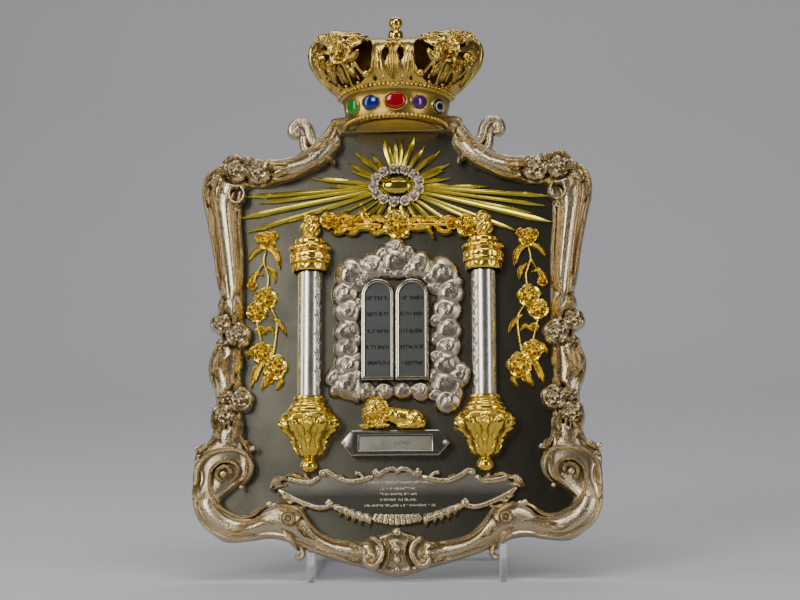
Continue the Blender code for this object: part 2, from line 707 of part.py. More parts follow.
def build_sunburst():
    """Rays are ridges from one middle point, and meet at the valleys between them."""
    side = [(math.radians(turn), share * RAY_LENGTH) for turn, share in RAYS]
    rays = side + [(-turn, length) for turn, length in reversed(side)]
    bm = bmesh.new()
    centre = Vector((0, SUN_V, 0))
    top = bm.verts.new(centre + Vector((0, 0, RAY_RELIEF)))
    upper = []
    lower = []
    for i, (turn, length) in enumerate(rays):
        next_turn, next_length = rays[(i + 1) % len(rays)]
        if next_turn < turn:
            next_turn += 2 * math.pi
        valley = max(RAY_HALF_WIDTH / math.sin((next_turn - turn) / 2), WREATH_HALF_WIDTH)
        valley = min(valley, 0.6 * min(length, next_length))
        for angle, reach in ((turn, length), ((turn + next_turn) / 2, valley)):
            point = centre + Vector((reach * math.sin(angle), reach * math.cos(angle), 0))
            upper.append(bm.verts.new(point + Vector((0, 0, RAY_EDGE))))
            lower.append(bm.verts.new(point))
    bm.faces.new(lower)
    for i in range(len(upper)):
        j = (i + 1) % len(upper)
        bm.faces.new((top, upper[i], upper[j]))
        bm.faces.new((upper[i], lower[i], lower[j], upper[j]))
    bmesh.ops.recalc_face_normals(bm, faces=bm.faces)
    ornament("sunburst", [bm], GILT_OLIVE, 20)
    boss = dome(centre, BOSS_HALF_WIDTH, BOSS_HALF_HEIGHT, OVER_RAYS, BOSS_RELIEF, 12)
    ornament("sunburst_boss", [boss], GILT_OLIVE, 50)
    stations = 28

    def beaded(t):
        return 1.0 - 0.25 * (round(t * (stations - 1)) % 2)

    line = []
    for i in range(stations):
        angle = 2 * math.pi * i / stations
        line.append(centre + Vector((WREATH_HALF_WIDTH * math.cos(angle), WREATH_HALF_HEIGHT * math.sin(angle), 0)))
    wreath = moulding(line, WREATH_TUBE, 1.5 * WREATH_TUBE, OVER_RAYS, RIDGE, True, beaded)
    ornament("rosette_wreath", [wreath], BRIGHT_SILVER)


def build_garland():
    shells = []
    for i, (u, v, radius) in enumerate(GARLAND_BLOSSOMS):
        shells.append(blossom(at(u, v), size(radius), OVER_RAYS + i * STEP, GARLAND_RELIEF, 5))
    for i, (root, middle, tip, half_width) in enumerate(GARLAND_LEAVES):
        shells.append(leaf(root, middle, tip, half_width, OVER_RAYS + (4 + i) * STEP, 0.6 * GARLAND_RELIEF))
    ornament("garland", shells, GILT)


def half_turned(middle_u, rows, arc=6, lobed=()):
    """A turned piece, flat at its back. Each row has a radius, a height v and the w of its flat back."""
    rings = []
    for k, (radius, v, back) in enumerate(rows):
        ring = [Vector((middle_u + radius, v, back))]
        for i in range(arc + 1):
            angle = math.pi * i / arc
            out = radius * (1.0 - LOBE_DEPTH * (i % 2 if k in lobed else 0))
            w = max(COLUMN_AXIS_DEPTH + out * math.sin(angle), back + STEP)
            ring.append(Vector((middle_u + out * math.cos(angle), v, w)))
        ring.append(Vector((middle_u - radius, v, back)))
        rings.append(ring)
    return loft(rings)


def build_columns():
    shaft_high = SHAFT_LOW + SHAFT_LENGTH
    capital = []
    for share, rise in CAPITAL_PROFILE:
        back = OVER_RAYS if rise > CAPITAL_BUD else 0.0
        capital.append((share * CAPITAL_RADIUS, shaft_high + GAP + rise * CAPITAL_HEIGHT, back))
    base = [(share * BASE_RADIUS, SHAFT_LOW - GAP - fall * BASE_HEIGHT, 0.0) for share, fall in BASE_PROFILE]
    shaft = [(SHAFT_RADIUS, SHAFT_LOW, 0.0), (SHAFT_RADIUS, shaft_high, 0.0)]
    for side, sign in (("left", -1), ("right", 1)):
        middle = sign * COLUMN_SPACING / 2
        ornament(f"column_{side}_capital", [half_turned(middle, capital)], GILT_PALE)
        ornament(f"column_{side}_shaft", [half_turned(middle, shaft, 8)], BRIGHT_SILVER)
        ornament(f"column_{side}_base", [half_turned(middle, base, 6, LOBED_ROWS)], GILT_PALE)


def build_clouds():
    shells = [prism([at(u, v) for u, v in CLOUD_OUTLINE], 0.0, CLOUD_SLAB)]
    for i, (u, v, radius) in enumerate(PUFFS):
        low = (3 + i % 5) * STEP
        shells.append(dome(at(u, v), size(radius), size(radius), low, CLOUD_RELIEF, 6))
    ornament("cloud_surround", shells, CLOUD_SILVER)


def tablet_outline(middle, inset):
    """A round-topped tablet's outline, drawn in from its edge by a distance."""
    radius = TABLET_WIDTH / 2 - inset
    arch = TABLET_LOW + TABLET_HEIGHT - TABLET_WIDTH / 2
    line = [Vector((middle - radius, TABLET_LOW + inset, 0)), Vector((middle + radius, TABLET_LOW + inset, 0))]
    for i in range(9):
        angle = math.pi * i / 8
        line.append(Vector((middle + radius * math.cos(angle), arch + radius * math.sin(angle), 0)))
    return line


def build_tablets():
    back = CLOUD_SLAB + GAP
    front = back + TABLET_THICKNESS
    for side, sign in (("left", -1), ("right", 1)):
        middle = TABLET_PAIR_U + sign * (TABLET_PAIR_GAP + TABLET_WIDTH) / 2
        levels = ((0.0, back), (0.0, front), (TABLET_RIM, front), (TABLET_RIM, front - TABLET_SUNK))
        rings = [[p + Vector((0, 0, w)) for p in tablet_outline(middle, inset)] for inset, w in levels]
        ornament(f"tablet_{side}", [loft(rings)], SLATE)


def build_tray():
    half_length = TRAY_LENGTH / 2
    middle_v = TRAY_TOP - TRAY_HEIGHT / 2
    corners = (
        (half_length, TRAY_HEIGHT / 2),
        (half_length + TRAY_POINT, 0),
        (half_length, -TRAY_HEIGHT / 2),
        (-half_length, -TRAY_HEIGHT / 2),
        (-half_length - TRAY_POINT, 0),
        (-half_length, TRAY_HEIGHT / 2),
    )
    outline = [Vector((TRAY_U + u, middle_v + v, 0)) for u, v in corners]
    tray = new_object("tray", prism(outline, 0.0, TRAY_DEPTH))

    def window(inset, low, high):
        half_u = WINDOW_LENGTH / 2 - inset
        half_v = WINDOW_HEIGHT / 2 - inset
        corner = ((half_u, half_v), (-half_u, half_v), (-half_u, -half_v), (half_u, -half_v))
        return prism([Vector((TRAY_U + u, middle_v + v, 0)) for u, v in corner], low, high)

    floor = TRAY_DEPTH - WINDOW_DEPTH
    combine(tray, [window(0.0, floor, TRAY_DEPTH + GAP)], "DIFFERENCE")
    settled(tray, BRIGHT_SILVER)
    ornament("portion_plate", [window(GAP, floor + GAP, floor + GAP + PORTION_THICKNESS)], BRIGHT_SILVER)


def build_lion():
    """The lion lies along the tray's top and faces left and out."""
    rump = TRAY_U + 0.45 * LION_LENGTH
    feet = TRAY_TOP + GAP
    shells = []
    for i, ((back, up, out), radii) in enumerate(LION_MASSES):
        half = [LION_LENGTH * radius for radius in radii]
        centre = Vector((rump - LION_LENGTH * back, feet + LION_LENGTH * up, LION_LENGTH * out))
        centre.y = max(centre.y, feet + half[1])
        centre.z = max(centre.z, half[2] + i * STEP)
        shells.append(ball(centre, half, 5 if i < 4 else 4, 6 if i < 4 else 5))
    ornament("lion", shells, GILT, 50)


def build_cartouche():
    stretch = CARTOUCHE_WIDTH / size(176.0)
    half = [at(u * stretch, v) for u, v in CARTOUCHE_OUTLINE]
    outline = both_sides(half)
    ornament("cartouche_plate", [prism(outline, 0.0, CARTOUCHE_PLATE)], BRIGHT_SILVER)
    base = CARTOUCHE_PLATE + GAP
    ring = moulding(outline, CARTOUCHE_RIM, CARTOUCHE_RELIEF, base, RIDGE, True)
    side = []
    for i, (root, middle, tip, half_width) in enumerate(CARTOUCHE_LEAVES[:-1]):
        points = [(u * stretch, v) for u, v in (root, middle, tip)]
        side.append(leaf(*points, half_width, base + (1 + i) * STEP, CARTOUCHE_RELIEF))
    for i, (u, v, radius) in enumerate(CARTOUCHE_CURLS):
        low = base + (10 + i) * STEP
        side.append(dome(at(u * stretch, v), size(radius), size(radius), low, 1.2 * CARTOUCHE_RELIEF, 5))
    middle = [leaf(*CARTOUCHE_LEAVES[-1], base + 9 * STEP, CARTOUCHE_RELIEF)]
    for i in range(GADROONS):
        u = (i - (GADROONS - 1) / 2) * 5.0
        low = base + (15 + i % 3) * STEP
        middle.append(dome(at(u, -161.5), size(2.9), size(4.0 - 0.01 * u * u), low, CARTOUCHE_RELIEF, 5))
    ornament("cartouche_border", [ring, *side, *mirrored(side), *middle], CLOUD_SILVER)


def build_sprays():
    for side in ("left", "right"):
        shells = []
        for i, (u, v, radius) in enumerate(SPRAY_BLOSSOMS):
            shells.append(blossom(at(u, v), size(radius), i * STEP, SPRAY_RELIEF, 4))
        for i, (root, middle, tip, half_width) in enumerate(SPRAY_LEAVES):
            shells.append(leaf(root, middle, tip, half_width, (7 + i) * STEP, 0.7 * SPRAY_RELIEF))
        if side == "left":
            originals = shells
            shells = mirrored(originals)
        ornament("spray_" + side, shells, GILT)


def frame_low(low_u, high_u):
    """The lowest point of the frame's outer edge between two places across the shield."""
    edge = [at(a, b) for a, b, _, _, _ in FRAME_EDGES]
    lowest = 0.0
    for near, far in zip(edge, edge[1:]):
        for i in range(21):
            point = near.lerp(far, i / 20)
            if low_u <= point.x <= high_u:
                lowest = min(lowest, point.y)
    return lowest


def ledge_height(middle):
    """Where a side plate of the easel carries the frame's edge, on the shield's plane."""
    half = EASEL_THICKNESS / 2
    return frame_low(abs(middle) - half, abs(middle) + half) - GAP


def stand_shield():
    """Leans the shield's plane back on the easel, with its tip just clear of the table."""
    foot = at(*FRAME_EDGES[-1][:2]).y
    front = -EASEL_DEPTH / 2 + EASEL_TOE
    ledge = ledge_height(EASEL_LEFT)
    back_tip = foot * math.cos(LEAN) + PLATE_BACK * math.sin(LEAN)
    y = front - ledge * math.sin(LEAN) + EASEL_LEDGE * math.cos(LEAN)
    shield_plane.location = (0, y, TIP_CLEARANCE - back_tip)
    shield_plane.rotation_euler = (-LEAN, 0, 0)


def in_room(v, w):
    """A point of the shield's middle plane, as y and z where it stands."""
    y = shield_plane.location.y + v * math.sin(LEAN) - w * math.cos(LEAN)
    z = shield_plane.location.z + v * math.cos(LEAN) + w * math.sin(LEAN)
    return y, z


def standing(name, outline, low_x, high_x):
    """A flat piece that stands across the room's x, from its outline in y and z."""
    rings = [[Vector((x, y, z)) for y, z in outline] for x in (low_x, high_x)]
    body = new_object(name, loft(rings))
    body.data.materials.append(ACRYLIC)
    return body


def build_easel():
    behind = PLATE_BACK - GAP
    heel = EASEL_DEPTH / 2
    half = EASEL_THICKNESS / 2
    for side, middle in (("left", EASEL_LEFT), ("right", EASEL_RIGHT)):
        ledge = ledge_height(middle)
        tip = in_room(ledge, EASEL_LEDGE)
        corner = in_room(ledge, behind)
        top = in_room(ledge + EASEL_UPRIGHT, behind)
        top_rear = in_room(ledge + EASEL_UPRIGHT, behind - EASEL_WEB)
        slope = math.tan(LEAN)
        knee = (top_rear[0] - (top_rear[1] - EASEL_SOLE) * slope, EASEL_SOLE)
        toe = [(-heel, EASEL_SOLE), (-heel, EASEL_CHAMFER), (EASEL_CHAMFER - heel, 0.0)]
        outline = [(heel, 0.0), (heel, EASEL_SOLE), knee, top_rear, top, corner, tip, *toe]
        standing("easel_" + side, outline, middle - half, middle + half)
    low_x = EASEL_LEFT + half + GAP
    high_x = EASEL_RIGHT - half - GAP
    rest = ledge_height(EASEL_LEFT) + EASEL_UPRIGHT - RAIL_INSET
    near = behind - RAIL_THICKNESS / 2
    upper = [in_room(rest - RAIL_WIDTH, near), in_room(rest - RAIL_WIDTH, near - RAIL_THICKNESS)]
    upper += [in_room(rest, near - RAIL_THICKNESS), in_room(rest, near)]
    standing("easel_rail_upper", upper, low_x, high_x)
    rear = heel - RAIL_INSET
    low_z = (EASEL_SOLE - RAIL_THICKNESS) / 2
    high_z = low_z + RAIL_THICKNESS
    lower = [(rear - RAIL_WIDTH, low_z), (rear, low_z), (rear, high_z), (rear - RAIL_WIDTH, high_z)]
    standing("easel_rail_lower", lower, low_x, high_x)


stand_shield()
build_backplate()
build_frame()
build_crown()
build_crown_back()
build_finial()
build_stones()
build_sunburst()
build_garland()
build_columns()
build_clouds()
build_tablets()
build_tray()
build_lion()
build_cartouche()
build_sprays()
build_easel()
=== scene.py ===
"""The Torah shield's visible pieces, its finishes, light and camera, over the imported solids.

Relief is drawn on the shield's plane: u to the right, v up, w towards the viewer, with tables in millimetres.
"""

import math
import random

import bmesh
import bpy
import numpy as np
from bpy.props import FloatProperty, FloatVectorProperty, IntProperty, PointerProperty
from mathutils import Matrix, Vector


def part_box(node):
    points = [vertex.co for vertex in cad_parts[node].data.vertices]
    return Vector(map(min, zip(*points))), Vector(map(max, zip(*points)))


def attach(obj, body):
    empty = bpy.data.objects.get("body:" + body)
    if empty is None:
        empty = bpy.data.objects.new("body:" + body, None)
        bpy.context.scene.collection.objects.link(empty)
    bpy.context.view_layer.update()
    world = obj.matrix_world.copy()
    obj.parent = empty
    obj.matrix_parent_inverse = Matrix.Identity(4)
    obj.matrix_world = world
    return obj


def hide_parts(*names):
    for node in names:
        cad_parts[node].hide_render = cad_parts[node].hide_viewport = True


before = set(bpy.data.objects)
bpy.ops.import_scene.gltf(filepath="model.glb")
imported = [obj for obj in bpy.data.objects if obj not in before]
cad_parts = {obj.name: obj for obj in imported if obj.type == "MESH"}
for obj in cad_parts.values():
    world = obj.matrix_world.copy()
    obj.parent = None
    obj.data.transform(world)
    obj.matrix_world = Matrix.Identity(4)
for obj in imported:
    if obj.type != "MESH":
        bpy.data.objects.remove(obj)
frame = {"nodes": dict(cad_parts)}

bl_info = {
    "name": "Torah Shield",
    "version": (1, 0, 0),
    "blender": (4, 5, 0),
    "location": "View3D > Sidebar > Torah Shield",
    "description": "Builds the shield's cast and chased pieces with their finishes",
    "category": "Add Mesh",
}

MM = 0.001
TINY = 1e-12
SEAM_REACH = 2e-6
SPLINE_STEPS = 12
# Beyond this share of its radius a round shape comes down to its ground
RIM = 0.999
CLOUD_SCALE = 90.0
GRAIN_SCALE = 1400.0
BRUSHING = (2600.0, 2600.0, 30.0)
LEAN = math.radians(12.0)
PLATE_TOP = 134.5 * MM
PLATE_BACK = 1.8 * MM
PLATE_FRONT = 0.3 * MM
PLATE_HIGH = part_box("backplate")[1]
PLANE_Y = PLATE_HIGH.y - PLATE_TOP * math.sin(LEAN) - PLATE_BACK * math.cos(LEAN)
PLANE_Z = PLATE_HIGH.z - PLATE_TOP * math.cos(LEAN) + PLATE_FRONT * math.sin(LEAN)
TO_ROOM = Matrix((
    (1.0, 0.0, 0.0, 0.0),
    (0.0, math.sin(LEAN), -math.cos(LEAN), PLANE_Y),
    (0.0, math.cos(LEAN), math.sin(LEAN), PLANE_Z),
    (0.0, 0.0, 0.0, 1.0),
))
OVER_RAYS = 2.9 * MM
CROWN_W = 5.4 * MM
AXIS_W = 3.0 * MM

# The frame's half outline: outer u, v, inner u, v and share of the relief
FRAME_EDGES = (
    (0, 141, 0, 128, 0.27), (44.5, 139.5, 38, 125.5, 0.62), (49.5, 131, 41, 119, 0.85),
    (57, 123, 43.5, 114, 0.9), (66, 113, 50, 105.5, 1.0), (77, 107, 60, 98, 1.0), (99, 104.5, 92, 87, 1.0),
    (109, 110, 107, 86, 1.0), (127, 106, 112.5, 83.5, 1.0), (134.5, 101, 113.5, 81.5, 1.0),
    (140.5, 94, 114, 78.5, 1.0), (144, 84.5, 115, 74.5, 1.0), (144, 74, 116, 68, 1.0),
    (140.5, 63, 116.5, 60, 1.0), (132.5, 21, 113.5, 18, 1.0), (130, 0, 112.5, -1, 1.0),
    (130, -36, 113.5, -38, 0.9), (136.5, -55, 114, -56, 0.9), (133.5, -67, 113.5, -68, 0.9),
    (132.5, -84, 113, -83, 0.9), (137.5, -106, 110.5, -107, 0.8), (146, -112.5, 106, -113.5, 0.65),
    (148, -121, 105, -121, 0.6), (145.5, -131, 108, -131, 0.6), (147, -141, 119, -139.5, 0.7),
    (147.5, -149, 127, -146, 0.9), (144, -160, 124, -152, 1.0), (136.5, -169, 118, -157, 1.0),
    (124, -177, 110, -159, 1.0), (107, -176.5, 101.5, -158.5, 1.0), (93, -174.5, 94.5, -152, 1.0),
    (81, -176.5, 86, -148, 1.0), (71, -181, 75, -151, 1.0), (62, -184.5, 66.5, -157, 1.0),
    (52, -188, 59.5, -168, 1.0), (40, -192, 48, -175, 1.0), (25, -196, 29, -177, 1.0),
    (11, -200.5, 13, -172.5, 1.0), (0, -203, 0, -168, 1.0),
)
# Roses and buds of one side of the frame: u, v, radius, height
FRAME_ROSES = (
    (102.5, 97.5, 11, 14.4), (119.5, 99, 10.6, 14.4), (134, 88.5, 7.5, 13), (116.5, -25.5, 10.6, 14.4),
    (129, -17, 9.0, 14), (114.5, -73.5, 10.6, 14.4), (127, -85, 9.6, 14.4), (128, -33.5, 6.0, 13),
    (110.5, 103, 5.5, 13.6), (125.5, -71, 6.4, 13), (118, -11, 4.6, 12.4), (117.5, -88, 5.0, 12.4),
)
# Leaves and stems of one side of the frame: root, middle, tip, half width, height
FRAME_LEAVES = (
    ((112, 104), (120, 108), (129, 104), 3.4, 12), ((96, 101), (88, 99), (80, 101), 3.4, 12),
    ((96, 95), (86, 94), (77, 99), 2.6, 12), ((122, 92), (128, 97), (136, 96), 3.0, 13),
    ((138, 88), (141, 80), (138, 70), 2.6, 12), ((128, 92), (130, 84), (126, 78), 2.8, 12),
    ((60, 111), (53, 118), (48, 127), 3.2, 9.5), ((52, 116), (47, 120), (45, 127), 2.4, 9),
    ((56, 108), (49, 106.5), (46, 101), 2.8, 7), ((66, 104), (60, 103), (56, 99), 2.2, 8),
    ((121, -1), (117, 10), (118.5, 22), 3.6, 12.5), ((124, 0), (128, 8), (127, 18), 3.0, 12.5),
    ((120, -18), (117, -8), (119, 2), 3.6, 12.5), ((127, -12), (129, -4), (126, 4), 2.8, 12),
    ((118, -36), (116, -46), (118, -57), 3.6, 12.5), ((128, -36), (133.5, -48), (129, -62), 3.8, 12.5),
    ((121, -40), (126, -50), (122, -62), 3.0, 12), ((118, -57), (116, -63), (119, -70), 3.2, 12),
    ((118, -84), (115, -94), (118, -104), 3.6, 12), ((126, -92), (131, -98), (128, -106), 3.4, 12),
    ((132, -82), (134, -90), (132, -99), 2.2, 11), ((112, -103), (108, -108), (110, -115), 2.6, 9.5),
    ((134, -106), (141, -109), (146, -116), 2.8, 9.5), ((144, -134), (147, -142), (144, -150), 2.4, 9.5),
    ((84, -168), (76, -174), (71, -184), 3.4, 9.5), ((74, -164), (66, -172), (60, -176), 3.0, 12),
    ((68, -158), (71, -166), (66, -175), 2.4, 12), ((106, -164), (114, -169), (124, -168), 3.0, 12),
    ((36, -186), (30, -190), (22, -189), 3.0, 12.5), ((34, -180), (27, -181), (21, -184), 2.4, 12),
)
# C-scroll rolls of one side of the frame: points, half width, height
FRAME_ROLLS = (
    (((45, 136), (50, 127), (58, 117.5), (68, 110), (79, 105), (91, 103.5), (100, 106)), 3.0, 12.5),
    (((41, 121), (46, 114), (54, 106), (65, 99.5), (79, 92.5), (93, 89.5)), 2.2, 11.5), (((53, 113),
    (59, 116.5), (63.5, 122), (65.5, 129.5), (70, 134), (75.8, 132.5), (77.3, 127.5), (74, 125.5),
    (72, 128.5)), 4.2, 11.5), (((60, 107), (67, 113), (69, 119), (69, 125)), 3.6, 11),
    (((132, 102), (140, 93), (142.5, 81), (139, 62), (133.5, 34), (129.5, 4)), 2.0, 12.5),
    (((127, 96), (133, 90), (135, 80), (132.5, 62), (128.5, 34), (126, 8)), 2.4, 13),
    (((119, 84), (122, 76), (121.5, 60), (119, 34), (117, 8)), 2.0, 12),
    (((115.5, 72), (116.5, 60), (114.5, 34), (114.4, 8)), 1.6, 10),
    (((131, -34), (136, -48), (134.5, -60), (131, -68)), 1.9, 11),
    (((115, -36), (115.8, -50), (115.3, -64)), 1.6, 10.5),
    (((131, -91), (131.5, -99), (136.5, -106.5), (142.5, -110.8), (146.5, -108.5)), 2.0, 11),
    (((114.5, -82), (115, -96), (111, -105.5), (106.5, -110.8), (103.5, -109)), 2.0, 11),
    (((118.5, -88), (118.5, -98), (115, -107)), 1.3, 9.5), (((122, -88), (122, -98), (121, -108)), 1.4, 10),
    (((125.5, -88), (125.8, -98), (127.5, -108)), 1.3, 9.5),
    (((129, -92), (129.5, -100), (133, -107.5)), 1.2, 9), (((113, -137), (106.6, -129), (106.4, -119),
    (113, -111.8), (125, -110.5), (137, -114), (144.5, -123), (146, -136), (146, -149), (141.5, -161),
    (133, -169), (120, -174.2), (104, -173.8), (90, -171)), 2.4, 11.5), (((121, -134.5), (115.6, -128.5),
    (116, -122.5), (121, -119.3), (128, -119.5), (134, -125), (135.5, -134), (134, -143), (130, -150),
    (123, -155.5), (113, -159.5), (104, -158), (96, -152.5), (88, -150.5)), 2.2, 12.6), (((121.5, -130.5),
    (120.5, -126), (124.5, -123.2), (129.5, -126), (129.5, -131.5), (125, -133)), 2.3, 13.8),
    (((78, -151), (69.5, -156), (63, -165), (54, -173), (42, -177.5), (28, -179.5)), 2.2, 12.5),
    (((84, -173), (70, -178.5), (58, -184), (46, -187.5), (30, -192)), 2.2, 11.5),
    (((90, -151), (84, -152), (77, -156), (73.5, -163), (66, -172), (54, -179)), 1.5, 13),
    (((86, -166), (96, -162.5), (108, -165), (118, -166)), 1.6, 12.5),
    (((84, -171), (76, -175.5), (69.5, -181), (68, -186.5), (71, -189), (73.5, -187)), 2.3, 9.5),
)

# The crown's profile at its side and at its front: share of the half width or reach, share of the rise
CROWN_SIDE = (
    (0.755, 0.106), (0.882, 0.28), (0.966, 0.445), (1.0, 0.6), (0.977, 0.754), (0.896, 0.876), (0.755, 0.971),
    (0.592, 1.0), (0.36, 0.91), (0.062, 0.812),
)
CROWN_FRONT = (
    (0.927, 0.12), (0.98, 0.262), (1.0, 0.405), (0.985, 0.548), (0.927, 0.679), (0.833, 0.774),
    (0.708, 0.848), (0.5625, 0.905), (0.34, 0.96), (0.083, 1.0),
)
BAND_DEGREE = 0.66
BAND_ROW = 17.2
CROWN_HALF_WIDTH = 64.0 * MM
CROWN_REACH = 47.8 * MM
SIDE_RISE = 51.6 * MM
FRONT_RISE = 41.9 * MM
BAND_LOW = 127.6 * MM
BAND_HIGH = 152.0 * MM
BAND_ROWS = ((37.0, 0.0), (36.4, 3.4), (39.9, 20.6), (42.0, 22.4), (41.0, 24.4))
STONES = (
    ("green", -54, 7.4, 5.8), ("blue", -26, 6.8, 5.1), ("red", 2, 7.5, 6.1), ("purple", 29, 6.2, 4.6),
    ("black", 57, 6.8, 5.2),
)
# Pierced work of one side of the crown: the panel's middle and half sizes in millimetres of turn and row,
# then the straps and stems that cross it as lines of turn in degrees and row, with half width
TURN_SCALE = 0.9
ROW_SCALE = 5.2
PANEL = (42.6, 40.6, 25.6, 17.6)
PANEL_POWER = 2.6
CROWN_STRAPS = (
    (((46, 4.5), (43, 6), (45, 8)), 1.7), (((26, 5), (31, 6.0), (37, 7.6)), 1.5),
    (((62, 4.8), (58, 6.4), (50, 8)), 1.8), (((45, 9), (43, 10.4), (38, 11.6)), 1.8),
    (((50, 9.2), (58, 10.2), (62, 11.6)), 1.8), (((37, 9.2), (33, 10.2), (31, 11.6)), 1.5),
    (((56, 8.0), (66, 8.2), (76, 8.0)), 1.8), (((64, 8.2), (69, 9.4), (68, 11)), 1.3),
    (((34, 5), (36, 6.2), (33, 7.2)), 1.3), (((54, 5), (52, 6.2), (55, 7.2)), 1.3),
    (((68, 8), (70, 6.6), (66, 5.4)), 1.3),
)
# Small holes beside the middle: turn, row, half width, half height in millimetres
CROWN_HOLES = (
    (0, 10.5, 1.3, 1.8), (4.8, 10.3, 1.3, 1.8), (6.6, 7.7, 2.2, 5.0), (2.8, 5.8, 1.0, 2.4),
    (84, 9.0, 2.4, 5.0), (80, 5.6, 2.0, 3.0), (17.5, 4.75, 1.2, 1.4), (88, 6.4, 1.0, 2.4),
)
# Roses and leaves on one side of the crown, in turn and row: roses with radius, leaves with half width
CROWN_ROSES = (
    (45, 8.0, 9.6, 6.0), (57, 9.6, 6.4, 5.0), (36, 9.9, 5.6, 4.0), (66, 7.2, 5.6, 4.4), (77, 9.8, 5.4, 3.4),
    (56, 6.4, 4.6, 3.6),
)
CROWN_LEAVES = (
    ((41, 7.4), (35, 7.2), (29, 8.0), 3.4), ((40, 8.6), (34, 9.4), (30, 10.4), 3.4),
    ((42, 6.8), (39, 5.8), (34, 5.4), 3.0), ((46, 6.6), (49, 5.6), (45, 4.8), 3.4),
    ((50, 9.4), (55, 10.8), (49, 12), 4.2), ((43, 9.4), (42, 10.8), (36, 11.8), 4.0),
    ((52, 7.4), (60, 6.0), (63, 5.0), 3.8), ((62, 8.4), (69, 8.9), (75, 8.0), 4.0),
    ((62, 9.8), (68, 10.8), (75, 10.8), 3.8), ((70, 6.8), (74, 6.0), (75, 5.0), 3.2),
    ((13, 4.6), (12, 6.4), (15, 8.4), 3.0), ((19, 4.6), (17, 6.4), (14.5, 8.2), 2.6),
    ((83, 5), (86, 7), (83, 9.4), 3.0),
)

# The rays: tip and half width, first the long bars and those above, then the short ones below
RAYS = (
    (-10.7, 125, 2.9), (-5.6, 119, 1.7), (-1.1, 123.3, 2.1), (4.6, 123.2, 1.9), (13.6, 125.3, 2.8),
    (9.0, 117, 1.6), (-19.7, 112.3, 1.9), (-15.5, 108, 1.5), (-25.2, 108.5, 1.6), (-31.6, 113.2, 2.9),
    (-37.6, 104.4, 2.5), (-35.5, 99.0, 1.9), (21.3, 117.5, 2.2), (17.0, 112, 1.5), (33.1, 113.5, 2.9),
    (27.0, 108, 1.7), (40.7, 103.2, 2.6), (37.0, 97.5, 1.9), (41.1, 91.8, 2.0), (-64.3, 93.2, 2.6),
    (-44.0, 91.0, 1.9), (-52.0, 86.5, 1.8), (-113.4, 79.2, 3.3), (-84.0, 81.8, 2.0), (-102.5, 74.2, 2.6),
    (-117.7, 63, 3.6), (-98.0, 67.2, 2.4), (-111.7, 52.3, 3.2), (-84.0, 59.0, 2.4), (-66.0, 54.0, 2.4),
    (44.0, 86.0, 2.2), (70.0, 84.5, 2.2), (113.3, 77.0, 3.3), (88.0, 79.6, 1.9), (110.5, 69.6, 2.6),
    (115.2, 56.6, 3.6), (101.0, 64.0, 2.4), (89.4, 50.2, 2.8), (66.0, 54.0, 2.4), (-46.0, 52.0, 2.6),
    (-31.0, 53.0, 2.4), (-19.0, 56.0, 2.4), (-7.0, 59.0, 2.4), (6.0, 59.0, 2.4), (18.0, 56.0, 2.6),
    (31.0, 53.0, 2.6), (47.0, 51.0, 2.6),
)
SUN_MIDDLE = (0.3, 86.0)

GARLAND_ROSES = (
    (0.5, 56.4, 10.6, 6.4), (52.0, 54.8, 8.4, 6.2), (-50.5, 60.0, 6.2, 5.6), (-34.0, 57.5, 5.2, 5.0),
    (-43.5, 57.6, 4.4, 5.0), (40.5, 56.0, 4.2, 4.8), (-26.5, 60.0, 3.6, 4.4),
)
GARLAND_LEAVES = (
    ((-7, 58), (-14, 61.5), (-22, 60), 3.6), ((-7, 53), (-15, 50), (-21, 52.5), 3.0),
    ((-18, 57), (-24.5, 62), (-25, 71), 3.6), ((-12, 55), (-24, 54), (-35, 54), 2.8),
    ((-30, 59), (-37, 63.5), (-45, 62.5), 3.0), ((-36, 54), (-43, 51), (-50, 51.5), 2.8),
    ((-27, 56), (-31, 50.5), (-38, 49.5), 2.4), ((8, 58), (15, 60.5), (23, 57.5), 3.2),
    ((8, 53), (17, 53), (28, 55), 2.8), ((20, 58), (27, 60), (33, 56), 3.0),
    ((20, 55), (25, 50.5), (27, 44.5), 2.4), ((28, 55), (34, 50.5), (42, 50), 2.8),
    ((30, 57), (38, 60.5), (46, 59.5), 3.0),
)

